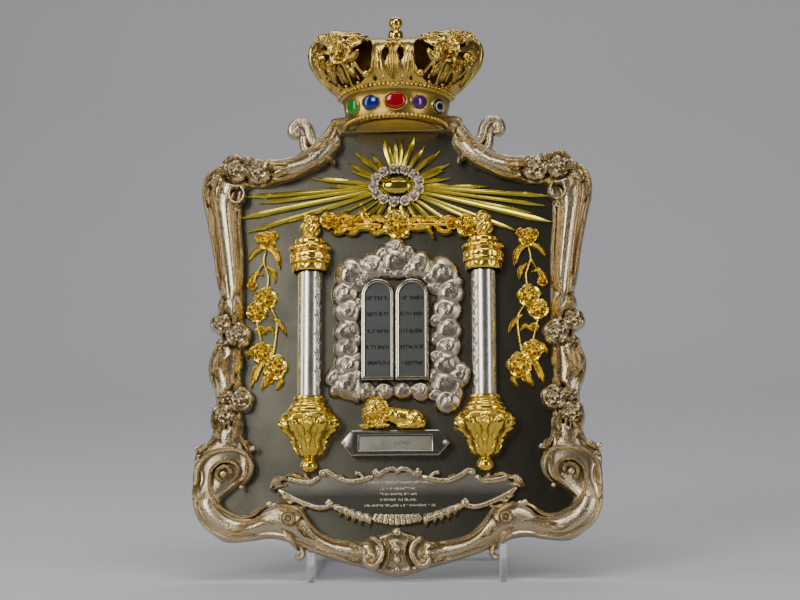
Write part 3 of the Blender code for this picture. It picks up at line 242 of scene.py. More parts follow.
# Puffs of cloud: u, v, radius, turn of the swirl
PUFFS = (
    (-34, 19, 10.5, 0.1), (-38.5, 5, 8.8, 0.7), (-35.6, -9, 9.2, 0.4), (-36, -23, 9.2, 0.9),
    (-36.5, -36, 8.6, 0.2), (-35.8, -49, 9.2, 0.6), (-36, -63, 10.2, 0.3), (-45.5, -58, 7.0, 0.8),
    (-18, 25, 9.5, 0.5), (-1, 29, 11.2, 0.0), (-1, 39.4, 6.6, 0.5), (16, 25, 9.5, 0.3), (33, 19.5, 10.8, 0.8),
    (38.5, 5, 9.5, 0.2), (36, -9, 9.8, 0.6), (37, -23, 9.2, 0.1), (37, -36, 8.8, 0.5), (36, -49, 10, 0.9),
    (45, -56.5, 8.5, 0.4), (35, -63, 10, 0.0), (36.5, -75.5, 8.6, 0.7), (-22, -68, 6.9, 0.2),
    (-9, -67.8, 6.6, 0.6), (4, -67.8, 6.6, 0.1), (17, -68, 7.0, 0.5), (-28.5, -4, 5.2, 0.3),
    (-29, -30, 5.0, 0.7), (-28.8, -44, 5.0, 0.0), (28, 9, 6.0, 0.4), (28.5, -16, 5.4, 0.8),
    (28.5, -30, 5.2, 0.2), (28.8, -43, 5.4, 0.6), (-28, 12, 6.2, 0.9), (8, 34, 6.0, 0.2), (-10, 34, 6.0, 0.8),
    (-6, 21.5, 6.4, 0.3), (9.5, 21.5, 6.2, 0.7), (1.5, 19.5, 5.0, 0.1), (-25, 17, 6.0, 0.5),
    (25, 15.5, 6.0, 0.9), (-29.5, -57, 5.4, 0.5), (27.5, -57, 5.4, 0.1), (43.5, 12, 5.0, 0.5),
    (43.5, -70, 5.0, 0.3), (-45, -67, 5.0, 0.1), (28, -71, 5.4, 0.9), (-30, -71, 5.0, 0.4),
)
CLOUD_OUTLINE = (
    (-38, -66), (40, -66), (42, -54), (37, -30), (38, 8), (31, 20), (9, 30), (0, 38), (-8, 31), (-33, 20),
    (-37, 4),
)

CAPITAL_ROWS = (
    (12.6, 0.2), (13.3, 1.4), (13.3, 5.0), (15.0, 6.2), (15.4, 7.6), (14.6, 9.4), (15.3, 13.2), (13.7, 14.8),
    (15.5, 16.2), (15.5, 18.8), (12.4, 20.6), (11.6, 21.5), (11.3, 24.3), (7.4, 25.6), (6.2, 27.4),
    (7.6, 30.5), (8.2, 34.7), (6.2, 38.6), (6.4, 40.4), (5.6, 42.4), (1.9, 45.6),
)
BASE_ROWS = (
    (11.3, 0.2), (11.6, 2.0), (10.9, 4.0), (13.5, 5.8), (14.0, 7.6), (15.9, 9.6), (16.0, 12.0), (19.0, 12.8),
    (21.6, 16.5), (22.3, 20.6), (20.5, 26.0), (15.6, 30.0), (13.7, 34.0), (12.4, 38.0), (10.4, 42.2),
    (5.0, 45.2), (4.4, 46.4), (5.8, 49.0), (5.9, 52.4), (3.0, 55.2),
)

CARTOUCHE_ROLLS = (
    (((0, -125.2), (5, -124.6), (10, -126.5), (14, -129.2), (16.5, -127.2), (13.5, -125.2)), 1.7),
    (((17, -129.5), (25, -132.6), (36, -133.6), (45, -130), (51, -126.4), (55.5, -127.0), (53.6, -129.6)),
    1.8), (((56, -129.5), (63, -134), (72, -133.2), (80, -131.4)), 1.8), (((87, -138.6), (80, -143.5),
    (70, -148.4), (58, -152.6), (50, -151.6), (48, -148.6), (51.5, -148.2)), 1.8),
    (((47, -152.4), (38, -154.2), (30, -158.6), (20, -162.2)), 1.8),
    (((24, -131.6), (26.5, -128.4), (30.5, -127.6)), 1.5),
)
CARTOUCHE_LEAVES = (
    ((78, -131.5), (87, -132), (92.3, -139.4), 2.2), ((66, -132), (75, -128.6), (82, -130.4), 1.9),
    ((62, -133), (66, -129.5), (64, -126.5), 1.8), ((80, -136), (87, -136.6), (90, -141), 1.8),
    ((72, -146), (77, -148.5), (82, -146.5), 1.8), ((64, -150), (69, -153), (75, -151.5), 1.6),
    ((84, -134), (88, -134.5), (91, -137.5), 1.6), ((76, -143), (81, -145.5), (86, -143.5), 1.6),
    ((50, -151.5), (42.5, -153.6), (41.5, -159.4), 2.6), ((43.5, -153), (37, -155.6), (36.5, -161.8), 2.8),
    ((38, -154.6), (32, -157.4), (31.5, -163.6), 2.8), ((33, -156.4), (27, -159), (26.6, -165.2), 2.8),
    ((27, -158), (21.2, -160.6), (20.4, -166.8), 2.8), ((37, -133), (40, -130), (45, -131), 1.6),
)

SPRAY_ROSES = (
    (96.5, 46, 6.6, 5.4), (97, 2, 8.2, 5.6), (103.5, -8, 7.4, 5.4), (99, -38.5, 7.6, 5.4),
    (89.5, -49.5, 8.8, 5.8), (107, 12.5, 3.6, 4.4), (100.5, -21.5, 3.2, 4.0), (91.5, 49.5, 3.4, 4.8),
    (101.5, 48.5, 3.2, 4.8), (94, -58, 3.6, 4.4),
)
SPRAY_ROLLS = (
    ((96.5, 40), (98.5, 30), (95, 18), (96.5, 6)), ((98, 30), (103, 22), (106.5, 13)),
    ((94, -4), (88.5, -14), (89.5, -30), (92, -44)), ((104, -14), (102, -20), (99, -34)),
    ((96.5, 40), (91, 35), (88, 28)), ((97, -44), (101, -52), (104, -60)),
)
SPRAY_LEAVES = (
    ((96, 42), (89, 36), (86.5, 24), 2.8), ((97, 41), (105, 38), (110.5, 30), 2.8),
    ((96, 26), (91, 22), (90.5, 14), 2.4), ((99, 20), (105, 21), (110.5, 14), 2.4),
    ((92, -12), (86, -17), (81.5, -26), 2.4), ((90, -24), (94.5, -20), (98, -25), 2.2),
    ((98, -44), (104, -52), (107.3, -65), 2.6), ((91, -55), (96, -60), (99.5, -66), 2.8),
    ((86, -55), (85, -61), (89, -66), 2.4), ((103, -32), (108, -36), (110, -43), 2.2),
)

# Masses of the lion: u, v, w of the middle, half sizes, and lean in degrees
LION_MASSES = (
    ((3.0, -87.8, 6.6), (15.5, 7.0, 6.4), -7), ((12.8, -89.4, 7.6), (7.6, 7.0, 7.0), 0),
    ((-3.0, -86.6, 8.0), (5.4, 6.6, 6.4), 0), ((-14.5, -84.6, 7.2), (10.8, 12.0, 6.8), 0),
    ((-15.5, -83.6, 9.6), (8.6, 9.6, 6.0), 0), ((-17.4, -83.6, 13.6), (4.9, 5.6, 4.6), 0),
    ((-18.6, -86.4, 16.6), (3.1, 2.5, 3.2), 0), ((-18.2, -84.0, 16.4), (1.4, 3.2, 2.4), 0),
    ((-18.4, -88.4, 15.4), (2.2, 1.3, 2.4), 0), ((-22.0, -94.6, 9.0), (6.0, 2.1, 3.0), -4),
    ((-11.5, -94.6, 11.0), (6.6, 2.1, 3.0), 3), ((-14.0, -92.0, 9.0), (6.4, 4.4, 4.4), 0),
    ((6.0, -94.6, 10.4), (6.6, 2.1, 3.0), 0), ((12.0, -92.2, 10.6), (5.2, 4.2, 3.6), 20),
    ((17.0, -94.6, 8.0), (4.0, 2.1, 3.4), 0),
)
TRAY_MIDDLE = (-1.2, -106.6)

# Roses above this radius stand in a hollow of the frame's body
LARGE_ROSE = 8
# The eye above the frame's bend with its radius, and the upper corner's ring with its half sizes
EYE = (78, -161, 5.8)
HOLLOW = (118.5, 79.5, 5.4, 6.6)
FRAME_LIMIT = 147.8 * MM
# Beads of one side of the frame: u, v, radius
FRAME_BEADS = (
    (145.3, -109.5, 2.4), (144.6, -114.5, 2.2), (104.4, -109.8, 2.3), (145.6, -119.5, 2.0),
    (73.6, 129.4, 2.7), (92, -150.5, 2.8), (118.5, 68.5, 2.3), (88.5, -151, 2.4), (112.6, -138, 1.8),
)
# The clasp: rolls with half width, height and ends, and pearls with u, v, w and radius
CLASP_ROLLS = (
    (((20, -175.6), (16.4, -176.2), (12.2, -179.6), (10.2, -185.8), (12.4, -192), (17.2, -195.6),
      (21.6, -194), (23.2, -190.6), (20.6, -189), (19.4, -191)), 3.1, 14, (0.5, 0.8)),
    (((8.6, -175.2), (5.6, -184.2), (6.6, -192), (10.6, -198)), 1.5, 12.8, (0.6, 0.6)),
)
CLASP_PEARLS = (
    (0, -171.3, 8.0, 3.4), (0, -177.6, 9.6, 1.9), (0, -184, 10.4, 2.9), (0, -191.4, 10, 2.9),
    (0, -198, 7.8, 2.6),
)
# Bead rows of the band: row, count, distance; single pearls of the crown: turn, row, radius
BEAD_ROWS = ((0.45, 35, 1.2), (3.3, 39, 1.1))
CROWN_PEARLS = ((9, 4.9, 1.5), (36, 4.6, 1.5), (52, 4.6, 1.4), (66, 4.6, 1.4), (30, 8.0, 1.3), (74, 8.0, 1.5))
LIP_RADIUS = 29.5 * MM
STONE_ROW = 1.5
STONE_COLOURS = {
    "green": (0.008, 0.26, 0.02), "blue": (0.003, 0.014, 0.2), "red": (0.36, 0.001, 0.002),
    "purple": (0.09, 0.006, 0.16), "black": (0.006, 0.005, 0.012),
}
GARLAND_STEMS = (((-54, 58), (-40, 55.5), (-25, 56.5), (-10, 56)), ((10, 56), (24, 56), (36, 55.5), (50, 55)))
COLUMN_U = 63.8
RAYS_FROM = 45.5
SHAFT_RADIUS = 8.75
VINE_STEP = 6.9
TABLET_BACK = 2.8 * MM
TABLET_ARCH = 2.6
TABLET_FOOT = -60.4
# A tablet's steps from its edge to its middle: inset, depth below the front, and the first at its back
TABLET_LEVELS = (
    (0.0, 5.0), (0.0, 0.7), (0.3, 0.2), (0.8, 0.0), (1.3, 0.1), (1.5, 0.7), (1.7, 0.1), (2.1, 0.0),
    (2.5, 0.3), (2.8, 1.6), (3.2, 1.6), (11.98, 1.6),
)
TABLET_LINES = (0.5, -11.4, -24.1, -36.0, -47.8)
LION_EYES = ((-20.0, -82.6, 17.2, 0.8), (-16.0, -82.6, 17.2, 0.8))
CARTOUCHE_BEADS = (
    (53.4, -128.2, 1.7), (14.6, -127.2, 1.6), (50.4, -149.4, 1.7), (29.6, -128.2, 1.2), (64, -135, 1.4),
)
# Rows of strokes on the cartouche: left, right, low, high, rows, seed
CARTOUCHE_LINES = (
    (-30, 32, -136.4, -132.4, 1, 5), (-13, 14, -149, -137, 3, 6), (-24, 28, -153, -149.4, 1, 7),
)
# Soft lights: name, place, aim, extent, power, colour
LIGHTS = (
    ("key_softbox", (-1.25, -1.9, 1.25), (0, -0.02, 0.2), (0.9, 1.1), 30.0, (1.0, 0.98, 0.94)),
    ("left_softbox", (-1.5, -0.3, 0.7), (0, -0.02, 0.2), (0.5, 1.3), 8.0, (1.0, 0.98, 0.95)),
    ("right_softbox", (1.5, -1.1, 0.6), (0, -0.02, 0.2), (0.35, 1.2), 9.0, (1.0, 0.99, 0.97)),
    ("top_softbox", (0.1, -0.6, 1.7), (0, -0.02, 0.2), (1.1, 0.5), 13.0, (1.0, 1.0, 1.0)),
    ("back_wash", (0.0, 1.9, 2.8), (0, 2.2, 0.2), (3.2, 0.8), 42.0, (0.97, 0.98, 1.0)),
)

VIEW_SHIFT = (3.0 / 800, 0.2 / 800)
VIEW_DISTANCE = 1.666
VIEW_TURN = math.radians(2.88)
VIEW_RISE = math.radians(0.69)
VIEW_ROLL = math.radians(0.73)
VIEW_LENS = 102.0


def cubic(a, b, c, d, t):
    """The place at share t from b to c, on a smooth curve through a, b, c and d."""
    return 0.5 * (2 * b + (c - a) * t + (2 * a - 5 * b + 4 * c - d) * t * t + (3 * b - a - 3 * c + d) * t**3)


def spline(points):
    """Many points of a smooth line through a few, in order."""
    raw = np.array(points, dtype=float)
    last = len(raw) - 1
    dense = []
    for i in range(last):
        around = [raw[min(max(k, 0), last)] for k in (i - 1, i, i + 1, i + 2)]
        dense += [cubic(*around, step / SPLINE_STEPS) for step in range(SPLINE_STEPS)]
    return np.array([*dense, raw[-1]])


def read_off(s, table, stations=None):
    """The columns of a table at shares s, from evenly spaced rows or from rows at the stations given."""
    if stations is None:
        stations = np.linspace(0, 1, len(table))
    return np.stack([np.interp(s, stations, column) for column in table.T], axis=1)


def unit(rows):
    """Rows brought to a length of one."""
    return rows / (np.linalg.norm(rows, axis=1, keepdims=True) + TINY)


def along(dense, s):
    """Places on a dense line at shares s of its length, and the direction square to it."""
    steps = np.linalg.norm(np.diff(dense[:, :2], axis=0), axis=1)
    stations = np.concatenate(([0.0], np.cumsum(steps)))
    stations /= stations[-1]
    heading = unit(read_off(s, unit(np.gradient(dense[:, :2], axis=0)), stations))
    return read_off(s, dense, stations), np.stack([-heading[:, 1], heading[:, 0]], axis=1)


def sheet(bm, columns, rows, place, seam=False, down=False):
    """Adds a fine grid to bm, with its points set by place(s, t), and s and t from 0 to 1. seam joins its
    meeting edges, and down turns it to face away from the viewer."""
    made = bmesh.ops.create_grid(bm, x_segments=columns, y_segments=rows, size=0.5)["verts"]
    flat = np.array([vert.co for vert in made])
    for vert, point in zip(made, place(flat[:, 0] + 0.5, flat[:, 1] + 0.5)):
        vert.co = point
    faces = {face for vert in made for face in vert.link_faces}
    out = 0.0
    for face in faces:
        face.normal_update()
        out += face.normal.z * face.calc_area()
    if (out < 0) != down:
        bmesh.ops.reverse_faces(bm, faces=list(faces))
    if seam:
        bmesh.ops.remove_doubles(bm, verts=made, dist=SEAM_REACH)


def raised(u, v, w):
    """Points in metres from u and v in millimetres and w in metres."""
    return np.stack([u * MM, v * MM, w], axis=1)


def roll(bm, points, half_width, base, height, ends=(0.35, 0.35), groove=0.0, steps=0, wrap=raised):
    """A round bar along a line, narrower at its ends."""
    dense = spline(points)
    steps = steps or max(8, int(len(points) * 7))

    def place(s, t):
        middle, side = along(dense, s)
        share = np.minimum(1.0, ends[0] + s * 6) * np.minimum(1.0, ends[1] + (1 - s) * 6)
        share *= np.sqrt(np.clip(np.sin(np.pi * np.clip(s, 0.0, 1.0)) * 12, 0.0, 1.0))
        x = -np.cos(np.pi * t)
        y = np.sin(np.pi * t) * (1 - groove * np.exp(-((x / 0.3) ** 2)))
        spot = middle + side * (x * share * half_width)[:, None]
        rise = (height - base) * y * (0.35 + 0.65 * share) * np.sign(share)
        return wrap(spot[:, 0], spot[:, 1], base + rise)

    sheet(bm, steps, 10, place)


def leaf(bm, root, middle, tip, half_width, base, height, lobes=3, wrap=raised):
    """A leaf with a midrib, side veins and a lobed edge."""
    dense = spline((root, middle, tip))

    def place(s, t):
        x = 2 * t - 1
        spot, side = along(dense, s)
        wide = np.sin(np.pi * np.clip(0.1 + 0.9 * s, 0, 1)) ** 0.75
        wide *= 1 - 0.26 * np.abs(np.sin(np.pi * lobes * s)) * (1 - s)
        rise = np.clip(1 - np.abs(x) ** 2.4, 0, 1) * (0.62 + 0.38 * np.sin(np.pi * s))
        vein = np.abs(np.sin(np.pi * (lobes * 1.5 * s - 0.8 * np.abs(x))))
        rise *= 0.78 + 0.16 * vein + 0.2 * np.exp(-((x / 0.14) ** 2))
        spot = spot + side * (x * wide * half_width)[:, None]
        return wrap(spot[:, 0], spot[:, 1], base + (height - base) * np.minimum(rise, 1.0))

    sheet(bm, 16, 10, place)


def rose(bm, u, v, radius, base, height, petals=5, turn=0.0, wrap=raised, scale=(1.0, 1.0), full=0.0):
    """A blossom: three rings of petals with curled lips round a bud, flat, or as full as a ball."""

    def place(s, t):
        angle = 2 * np.pi * t
        ring = np.minimum(np.floor(3.2 * s), 2)
        lobe = np.cos(petals * (angle + turn) + ring * np.pi)
        depth = np.clip(3.2 * s + 0.26 * lobe * np.minimum(s * 4, 1.0), 0, 3.4)
        within = depth - np.floor(depth)
        lip = within**1.6
        dome = np.sqrt(np.clip(1 - s**2.2, 0, 1))
        flat = 1 - 0.5 * s**2
        ball = full * dome * (0.86 + 0.14 * lip)
        rise = ball + (1 - full) * flat * (0.42 + 0.58 * lip) * np.clip((1 - s) * 9, 0, 1)
        split = np.exp(-((np.abs(lobe) / 0.22) ** 2)) * np.clip(3 * s - 0.6, 0, 1)
        rise = np.clip(rise * (1 - (0.22 - 0.1 * full) * split), 0, 1)
        rise = np.where(s > RIM, 0.0, rise)
        notch = np.abs(np.cos(0.5 * petals * (angle + turn))) ** 0.6 - 1
        out = radius * s * (1 + (0.14 - 0.09 * full) * notch * 2 * s)
        across, up = out * np.cos(angle) * scale[0], out * np.sin(angle) * scale[1]
        return wrap(u + across, v + up, base + (height - base) * rise)

    sheet(bm, 20, 44, place, True)


def puff(bm, u, v, radius, turn, base, height):
    """A rolled puff of cloud: lumps, with grooves that curl in to its middle."""

    def place(s, t):
        angle = 2 * np.pi * t
        swirl = np.cos(2 * np.pi * (1.1 * s - t + turn)) * np.sin(np.pi * s)
        fine = np.cos(2 * np.pi * (5.0 * s - t + turn))
        lump = (0.5 * np.cos(3 * angle + 9 * turn) + 0.5 * np.cos(5 * angle - 4 * turn)) * s
        rise = np.clip(1 - s**2.4, 0, 1) ** 0.5
        rise *= 0.88 + 0.07 * swirl + 0.018 * fine + 0.07 * lump
        rise = np.where(s > RIM, 0.0, 0.1 + 0.9 * rise)
        out = radius * s * (1.1 + 0.05 * np.cos(3 * angle + 9 * turn))
        w = base + (height - base) * np.clip(rise, 0, 1)
        return raised(u + out * np.cos(angle), v + out * np.sin(angle), w)

    sheet(bm, 14, 34, place, True)


def pearl(bm, spot, radius, detail=2):
    """A bead."""
    place = Matrix.Translation(Vector(spot))
    bmesh.ops.create_icosphere(bm, subdivisions=detail, radius=radius, matrix=place)


def pearls(bm, beads, detail=2):
    """Beads given in millimetres: u, v, w and radius."""
    for u, v, w, radius in beads:
        pearl(bm, (u * MM, v * MM, w * MM), radius * MM, detail)


def mirror_over(bm):
    """Adds the mirror image of all that bm holds, on the shield's other side."""
    copied = bmesh.ops.duplicate(bm, geom=bm.verts[:] + bm.edges[:] + bm.faces[:])["geom"]
    verts = [item for item in copied if isinstance(item, bmesh.types.BMVert)]
    faces = [item for item in copied if isinstance(item, bmesh.types.BMFace)]
    bmesh.ops.scale(bm, vec=(-1.0, 1.0, 1.0), verts=verts)
    bmesh.ops.reverse_faces(bm, faces=faces)


def read_rows(items, label, width, kind=float):
    """A property of all of a mesh's points or edges, as rows."""
    values = np.empty(len(items) * width, dtype=kind)
    items.foreach_get(label, values)
    return values.reshape(-1, width)


def finish(name, bm, finish_material, nodes, on_plane=True, sharp=60, reach=None):
    """Makes the piece's object with its shading, lift and bend, its body and the nodes it stands for."""
    mesh = bpy.data.meshes.new(name)
    bm.to_mesh(mesh)
    bm.free()
    points = read_rows(mesh.vertices, "co", 3)
    normals = read_rows(mesh.vertices, "normal", 3)
    ends = read_rows(mesh.edges, "vertices", 2, np.int32)

    def gather(values):
        total = np.zeros_like(values)
        for near, far in ((0, 1), (1, 0)):
            np.add.at(total, ends[:, near], values[ends[:, far]])
        return total

    degree = np.maximum(gather(np.ones(len(points))), 1)
    bend = ((points - gather(points) / degree[:, None]) * normals).sum(axis=1)
    length = np.linalg.norm(points[ends[:, 0]] - points[ends[:, 1]], axis=1).mean()
    bend = np.clip(bend / (0.35 * length), -1, 1)
    for _ in range(2):
        bend = 0.5 * bend + 0.5 * gather(bend) / degree
    top = reach or max(points[:, 2].max(), 1e-6)
    # lift and bend steer the darkening low down and in the hollows, partly oxide and partly painted shade.
    lift = np.clip(points[:, 2] / top, 0, 1) if on_plane else np.ones(len(points))
    for label, values in (("lift", lift), ("bend", 0.5 + 0.5 * bend)):
        mesh.attributes.new(label, "FLOAT", "POINT").data.foreach_set("value", values.astype(np.float32))
    if on_plane:
        mesh.transform(TO_ROOM)
    mesh.shade_smooth()
    mesh.set_sharp_from_angle(angle=math.radians(sharp))
    mesh.materials.append(finish_material)
    piece = bpy.data.objects.new(name, mesh)
    bpy.context.scene.collection.objects.link(piece)
    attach(piece, "root")
    if nodes:
        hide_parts(*nodes)
    return piece


def softened(name, node, width, finish_material, segments=2):
    """A copy of a flat node with its edges rounded."""
    bm = bmesh.new()
    bm.from_mesh(bpy.data.objects[node].data)
    bmesh.ops.remove_doubles(bm, verts=bm.verts, dist=1e-5)
    flat = [edge for edge in bm.edges if edge.is_manifold and edge.calc_face_angle() < 0.01]
    bmesh.ops.dissolve_edges(bm, edges=flat, use_verts=False)
    edges = [edge for edge in bm.edges if edge.is_manifold and edge.calc_face_angle() > 0.3]
    bmesh.ops.bevel(bm, geom=edges, offset=width, segments=segments, profile=0.5, affect="EDGES", material=-1)
    return finish(name, bm, finish_material, [node], on_plane=False, sharp=40)


def strokes(bm, left, right, low, high, w, rows, seed, size=(0.22, 1.6)):
    """Rows of small raised strokes that read as worn engraving and spell nothing."""
    rng = random.Random(seed)
    for row in range(rows):
        v = high - (row + 0.5) * (high - low) / rows
        u = left + rng.uniform(0.0, 1.2)
        while u < right:
            tall = rng.uniform(0.55, 1.0) * size[1]
            kind = rng.choice(("up", "up", "up", "flat", "lean"))
            wide, high_side = (size[0], tall) if kind != "flat" else (0.45 * tall, size[0])
            turn = Matrix.Rotation(rng.uniform(0.2, 0.5) if kind == "lean" else 0.0, 4, "Z")
            if kind == "flat":
                rise = (0.3 if rng.random() < 0.7 else -0.3) * size[1]
            else:
                rise = rng.uniform(-0.2, 0.2)
            spot = Matrix.Translation(Vector((u * MM, (v + rise) * MM, w)))
            shape = Matrix.Diagonal(Vector((wide * MM, high_side * MM, 0.2 * MM, 1.0)))
            bmesh.ops.create_cube(bm, size=1.0, matrix=spot @ turn @ shape)
            u += rng.uniform(0.75, 1.15) * (2.2 if rng.random() < 0.16 else 1.0)


def new_group(name, inputs, outputs):
    """An empty node group with float inputs and outputs."""
    group = bpy.data.node_groups.new(name, "ShaderNodeTree")
    for label, value in inputs:
        socket = group.interface.new_socket(name=label, in_out="INPUT", socket_type="NodeSocketFloat")
        socket.default_value = value
    for label in outputs:
        group.interface.new_socket(name=label, in_out="OUTPUT", socket_type="NodeSocketFloat")
    return group


def add(tree, kind, **values):
    """A node with its settings and its sockets' values."""
    made = tree.nodes.new(kind)
    for key, value in values.items():
        if key in made.inputs and not hasattr(made, key.lower()):
            made.inputs[key].default_value = value
        else:
            setattr(made, key, value)
    return made


def maths(tree, operation, first, second, clamp=False):
    """A math node on two sockets or numbers."""
    made = tree.nodes.new("ShaderNodeMath")
    made.operation = operation
    made.use_clamp = clamp
    for socket, value in zip(made.inputs, (first, second)):
        if isinstance(value, (int, float)):
            socket.default_value = value
        else:
            tree.links.new(value, socket)
    return made.outputs[0]


def oxide_and_shade_group():
    """Masks for any metal: darkening low down and in hollows, partly oxide and partly painted shade, and
    grain.
    """
    found = bpy.data.node_groups.get("oxide_and_shade")
    if found:
        return found
    inputs = (("Lift", 1.0), ("Bend", 0.5), ("Low", 0.45), ("Hollow", 1.0), ("Cloud", 0.5),
              ("Cloud Scale", CLOUD_SCALE), ("Grain Scale", GRAIN_SCALE))
    group = new_group("oxide_and_shade", inputs, ("Tarnish and Shade", "Grain", "Cloud"))
    read = group.nodes.new("NodeGroupInput")
    write = group.nodes.new("NodeGroupOutput")
    where = group.nodes.new("ShaderNodeTexCoord")
    cloud = add(group, "ShaderNodeTexNoise", Detail=5.0, Roughness=0.6)
    grain = add(group, "ShaderNodeTexNoise", Detail=2.0)
    for texture, socket in ((cloud, "Cloud Scale"), (grain, "Grain Scale")):
        group.links.new(where.outputs["Object"], texture.inputs["Vector"])
        group.links.new(read.outputs[socket], texture.inputs["Scale"])
    cloud_value = cloud.outputs["Fac"]
    low = maths(group, "MULTIPLY", maths(group, "SUBTRACT", 1.0, read.outputs["Lift"]), read.outputs["Low"])
    bent = maths(group, "SUBTRACT", 0.5, read.outputs["Bend"])
    hollow = maths(group, "MULTIPLY", bent, read.outputs["Hollow"])
    patch = maths(group, "MULTIPLY", maths(group, "SUBTRACT", cloud_value, 0.5), read.outputs["Cloud"])
    total = maths(group, "ADD", maths(group, "ADD", low, hollow), patch, True)
    group.links.new(total, write.inputs["Tarnish and Shade"])
    group.links.new(grain.outputs["Fac"], write.inputs["Grain"])
    group.links.new(cloud_value, write.inputs["Cloud"])
    return group


def new_material(name):
    """A material with its node tree and its shader."""
    made = bpy.data.materials.new(name)
    made.use_nodes = True
    return made, made.node_tree, made.node_tree.nodes["Principled BSDF"]


def oxide_and_shade_node(tree, **values):
    """The group of oxide, painted shade and grain masks in a material, with its inputs set."""
    oxide_and_shade = tree.nodes.new("ShaderNodeGroup")
    oxide_and_shade.node_tree = oxide_and_shade_group()
    for label, value in values.items():
        oxide_and_shade.inputs[label.replace("_", " ")].default_value = value
    return oxide_and_shade


def metal(name, bright, dark, polish, dull, low, hollow, cloud, grain, cloud_scale=CLOUD_SCALE,
          grain_scale=GRAIN_SCALE, stretch=None, fade=None):
    """A cast, chased or sheet metal: bright on its high, rubbed parts, and darker low down and in its
    hollows, where the darkening is partly oxide and partly painted shade.

    stretch draws its grain out along an axis, and fade darkens it along one, between two places, as painted
    shade and painted reflection.
    """
    found = bpy.data.materials.get(name)
    if found:
        return found
    made, tree, shader = new_material(name)
    shader.inputs["Metallic"].default_value = 1.0
    oxide_and_shade = oxide_and_shade_node(tree, Low=low, Hollow=hollow, Cloud=cloud, Cloud_Scale=cloud_scale,
                         Grain_Scale=grain_scale)
    if low or hollow:
        for label, socket in (("lift", "Lift"), ("bend", "Bend")):
            read = add(tree, "ShaderNodeAttribute", attribute_name=label)
            tree.links.new(read.outputs["Fac"], oxide_and_shade.inputs[socket])
    mix = add(tree, "ShaderNodeMix", data_type="RGBA")
    mix.inputs[6].default_value = (*bright, 1.0)
    mix.inputs[7].default_value = (*dark, 1.0)
    tarnish_and_shade = oxide_and_shade.outputs["Tarnish and Shade"]
    if fade:
        axis, start, end = fade
        place = tree.nodes.new("ShaderNodeTexCoord")
        part = tree.nodes.new("ShaderNodeSeparateXYZ")
        tree.links.new(place.outputs["Object"], part.inputs["Vector"])
        span = tree.nodes.new("ShaderNodeMapRange")
        span.inputs["From Min"].default_value = start
        span.inputs["From Max"].default_value = end
        tree.links.new(part.outputs[axis], span.inputs["Value"])
        tarnish_and_shade = maths(tree, "ADD", maths(tree, "SUBTRACT", tarnish_and_shade, 0.25), span.outputs["Result"], True)
    tree.links.new(tarnish_and_shade, mix.inputs[0])
    tree.links.new(mix.outputs[2], shader.inputs["Base Color"])
    rough = maths(tree, "MULTIPLY_ADD", oxide_and_shade.outputs["Tarnish and Shade"], dull - polish)
    rough.node.inputs[2].default_value = polish
    uneven = maths(tree, "MULTIPLY", maths(tree, "SUBTRACT", oxide_and_shade.outputs["Cloud"], 0.5), 0.16)
    rough = maths(tree, "ADD", rough, uneven, True)
    tree.links.new(rough, shader.inputs["Roughness"])
    height = oxide_and_shade.outputs["Grain"]
    if stretch:
        where = tree.nodes.new("ShaderNodeTexCoord")
        brush_map = add(tree, "ShaderNodeMapping")
        brush_map.inputs["Scale"].default_value = stretch
        brushed = add(tree, "ShaderNodeTexNoise", Scale=1.0, Detail=3.0)
        tree.links.new(where.outputs["Object"], brush_map.inputs["Vector"])
        tree.links.new(brush_map.outputs["Vector"], brushed.inputs["Vector"])
        height = brushed.outputs["Fac"]
    bump = add(tree, "ShaderNodeBump", Strength=grain, Distance=0.0002)
    tree.links.new(height, bump.inputs["Height"])
    tree.links.new(bump.outputs["Normal"], shader.inputs["Normal"])
    return made


def stone_material(name, colour):
    """A polished stone with faint clouds inside."""
    made, tree, shader = new_material(name)
    shader.inputs["Roughness"].default_value = 0.06
    shader.inputs["Coat Weight"].default_value = 0.25
    shader.inputs["Coat Roughness"].default_value = 0.03
    oxide_and_shade = oxide_and_shade_node(tree, Cloud_Scale=260.0)
    ramp = add(tree, "ShaderNodeMix", data_type="RGBA")
    ramp.inputs[6].default_value = (*[part * 0.45 for part in colour], 1.0)
    ramp.inputs[7].default_value = (*colour, 1.0)
    tree.links.new(oxide_and_shade.outputs["Cloud"], ramp.inputs[0])
    tree.links.new(ramp.outputs[2], shader.inputs["Base Color"])
    return made


def acrylic_material():
    """Clear acrylic with faint wipe marks, and edges painted brighter as a reflection."""
    made, tree, shader = new_material("clear acrylic")
    shader.inputs["Base Color"].default_value = (0.8, 0.84, 0.86, 1.0)
    shader.inputs["IOR"].default_value = 1.49
    rough = maths(tree, "MULTIPLY_ADD", oxide_and_shade_node(tree).outputs["Cloud"], 0.14)
    rough.node.inputs[2].default_value = 0.04
    tree.links.new(rough, shader.inputs["Roughness"])
    # Opacity rises towards glancing angles, so the pale base colour shows at the edges: a painted reflection.
    edge = add(tree, "ShaderNodeLayerWeight", Blend=0.35)
    clear = maths(tree, "MULTIPLY_ADD", edge.outputs["Facing"], 0.5)
    clear.node.inputs[2].default_value = 0.22
    tree.links.new(clear, shader.inputs["Alpha"])
    return made


def stage_material(name, colour):
    """Matte paper for the floor and the backdrop."""
    made, _, shader = new_material(name)
    shader.inputs["Base Color"].default_value = (*colour, 1.0)
    shader.inputs["Roughness"].default_value = 0.9
    return made


def silver_cast():
    """The frame's silver, which the cartouche's border shares."""
    look = bpy.context.scene.torah_shield.frame
    return metal("cast silver", look.silver, look.tarnish_and_shade, 0.25, 0.46, 0.38, 2.1, 0.6, 1.3,
                 grain_scale=1000.0)


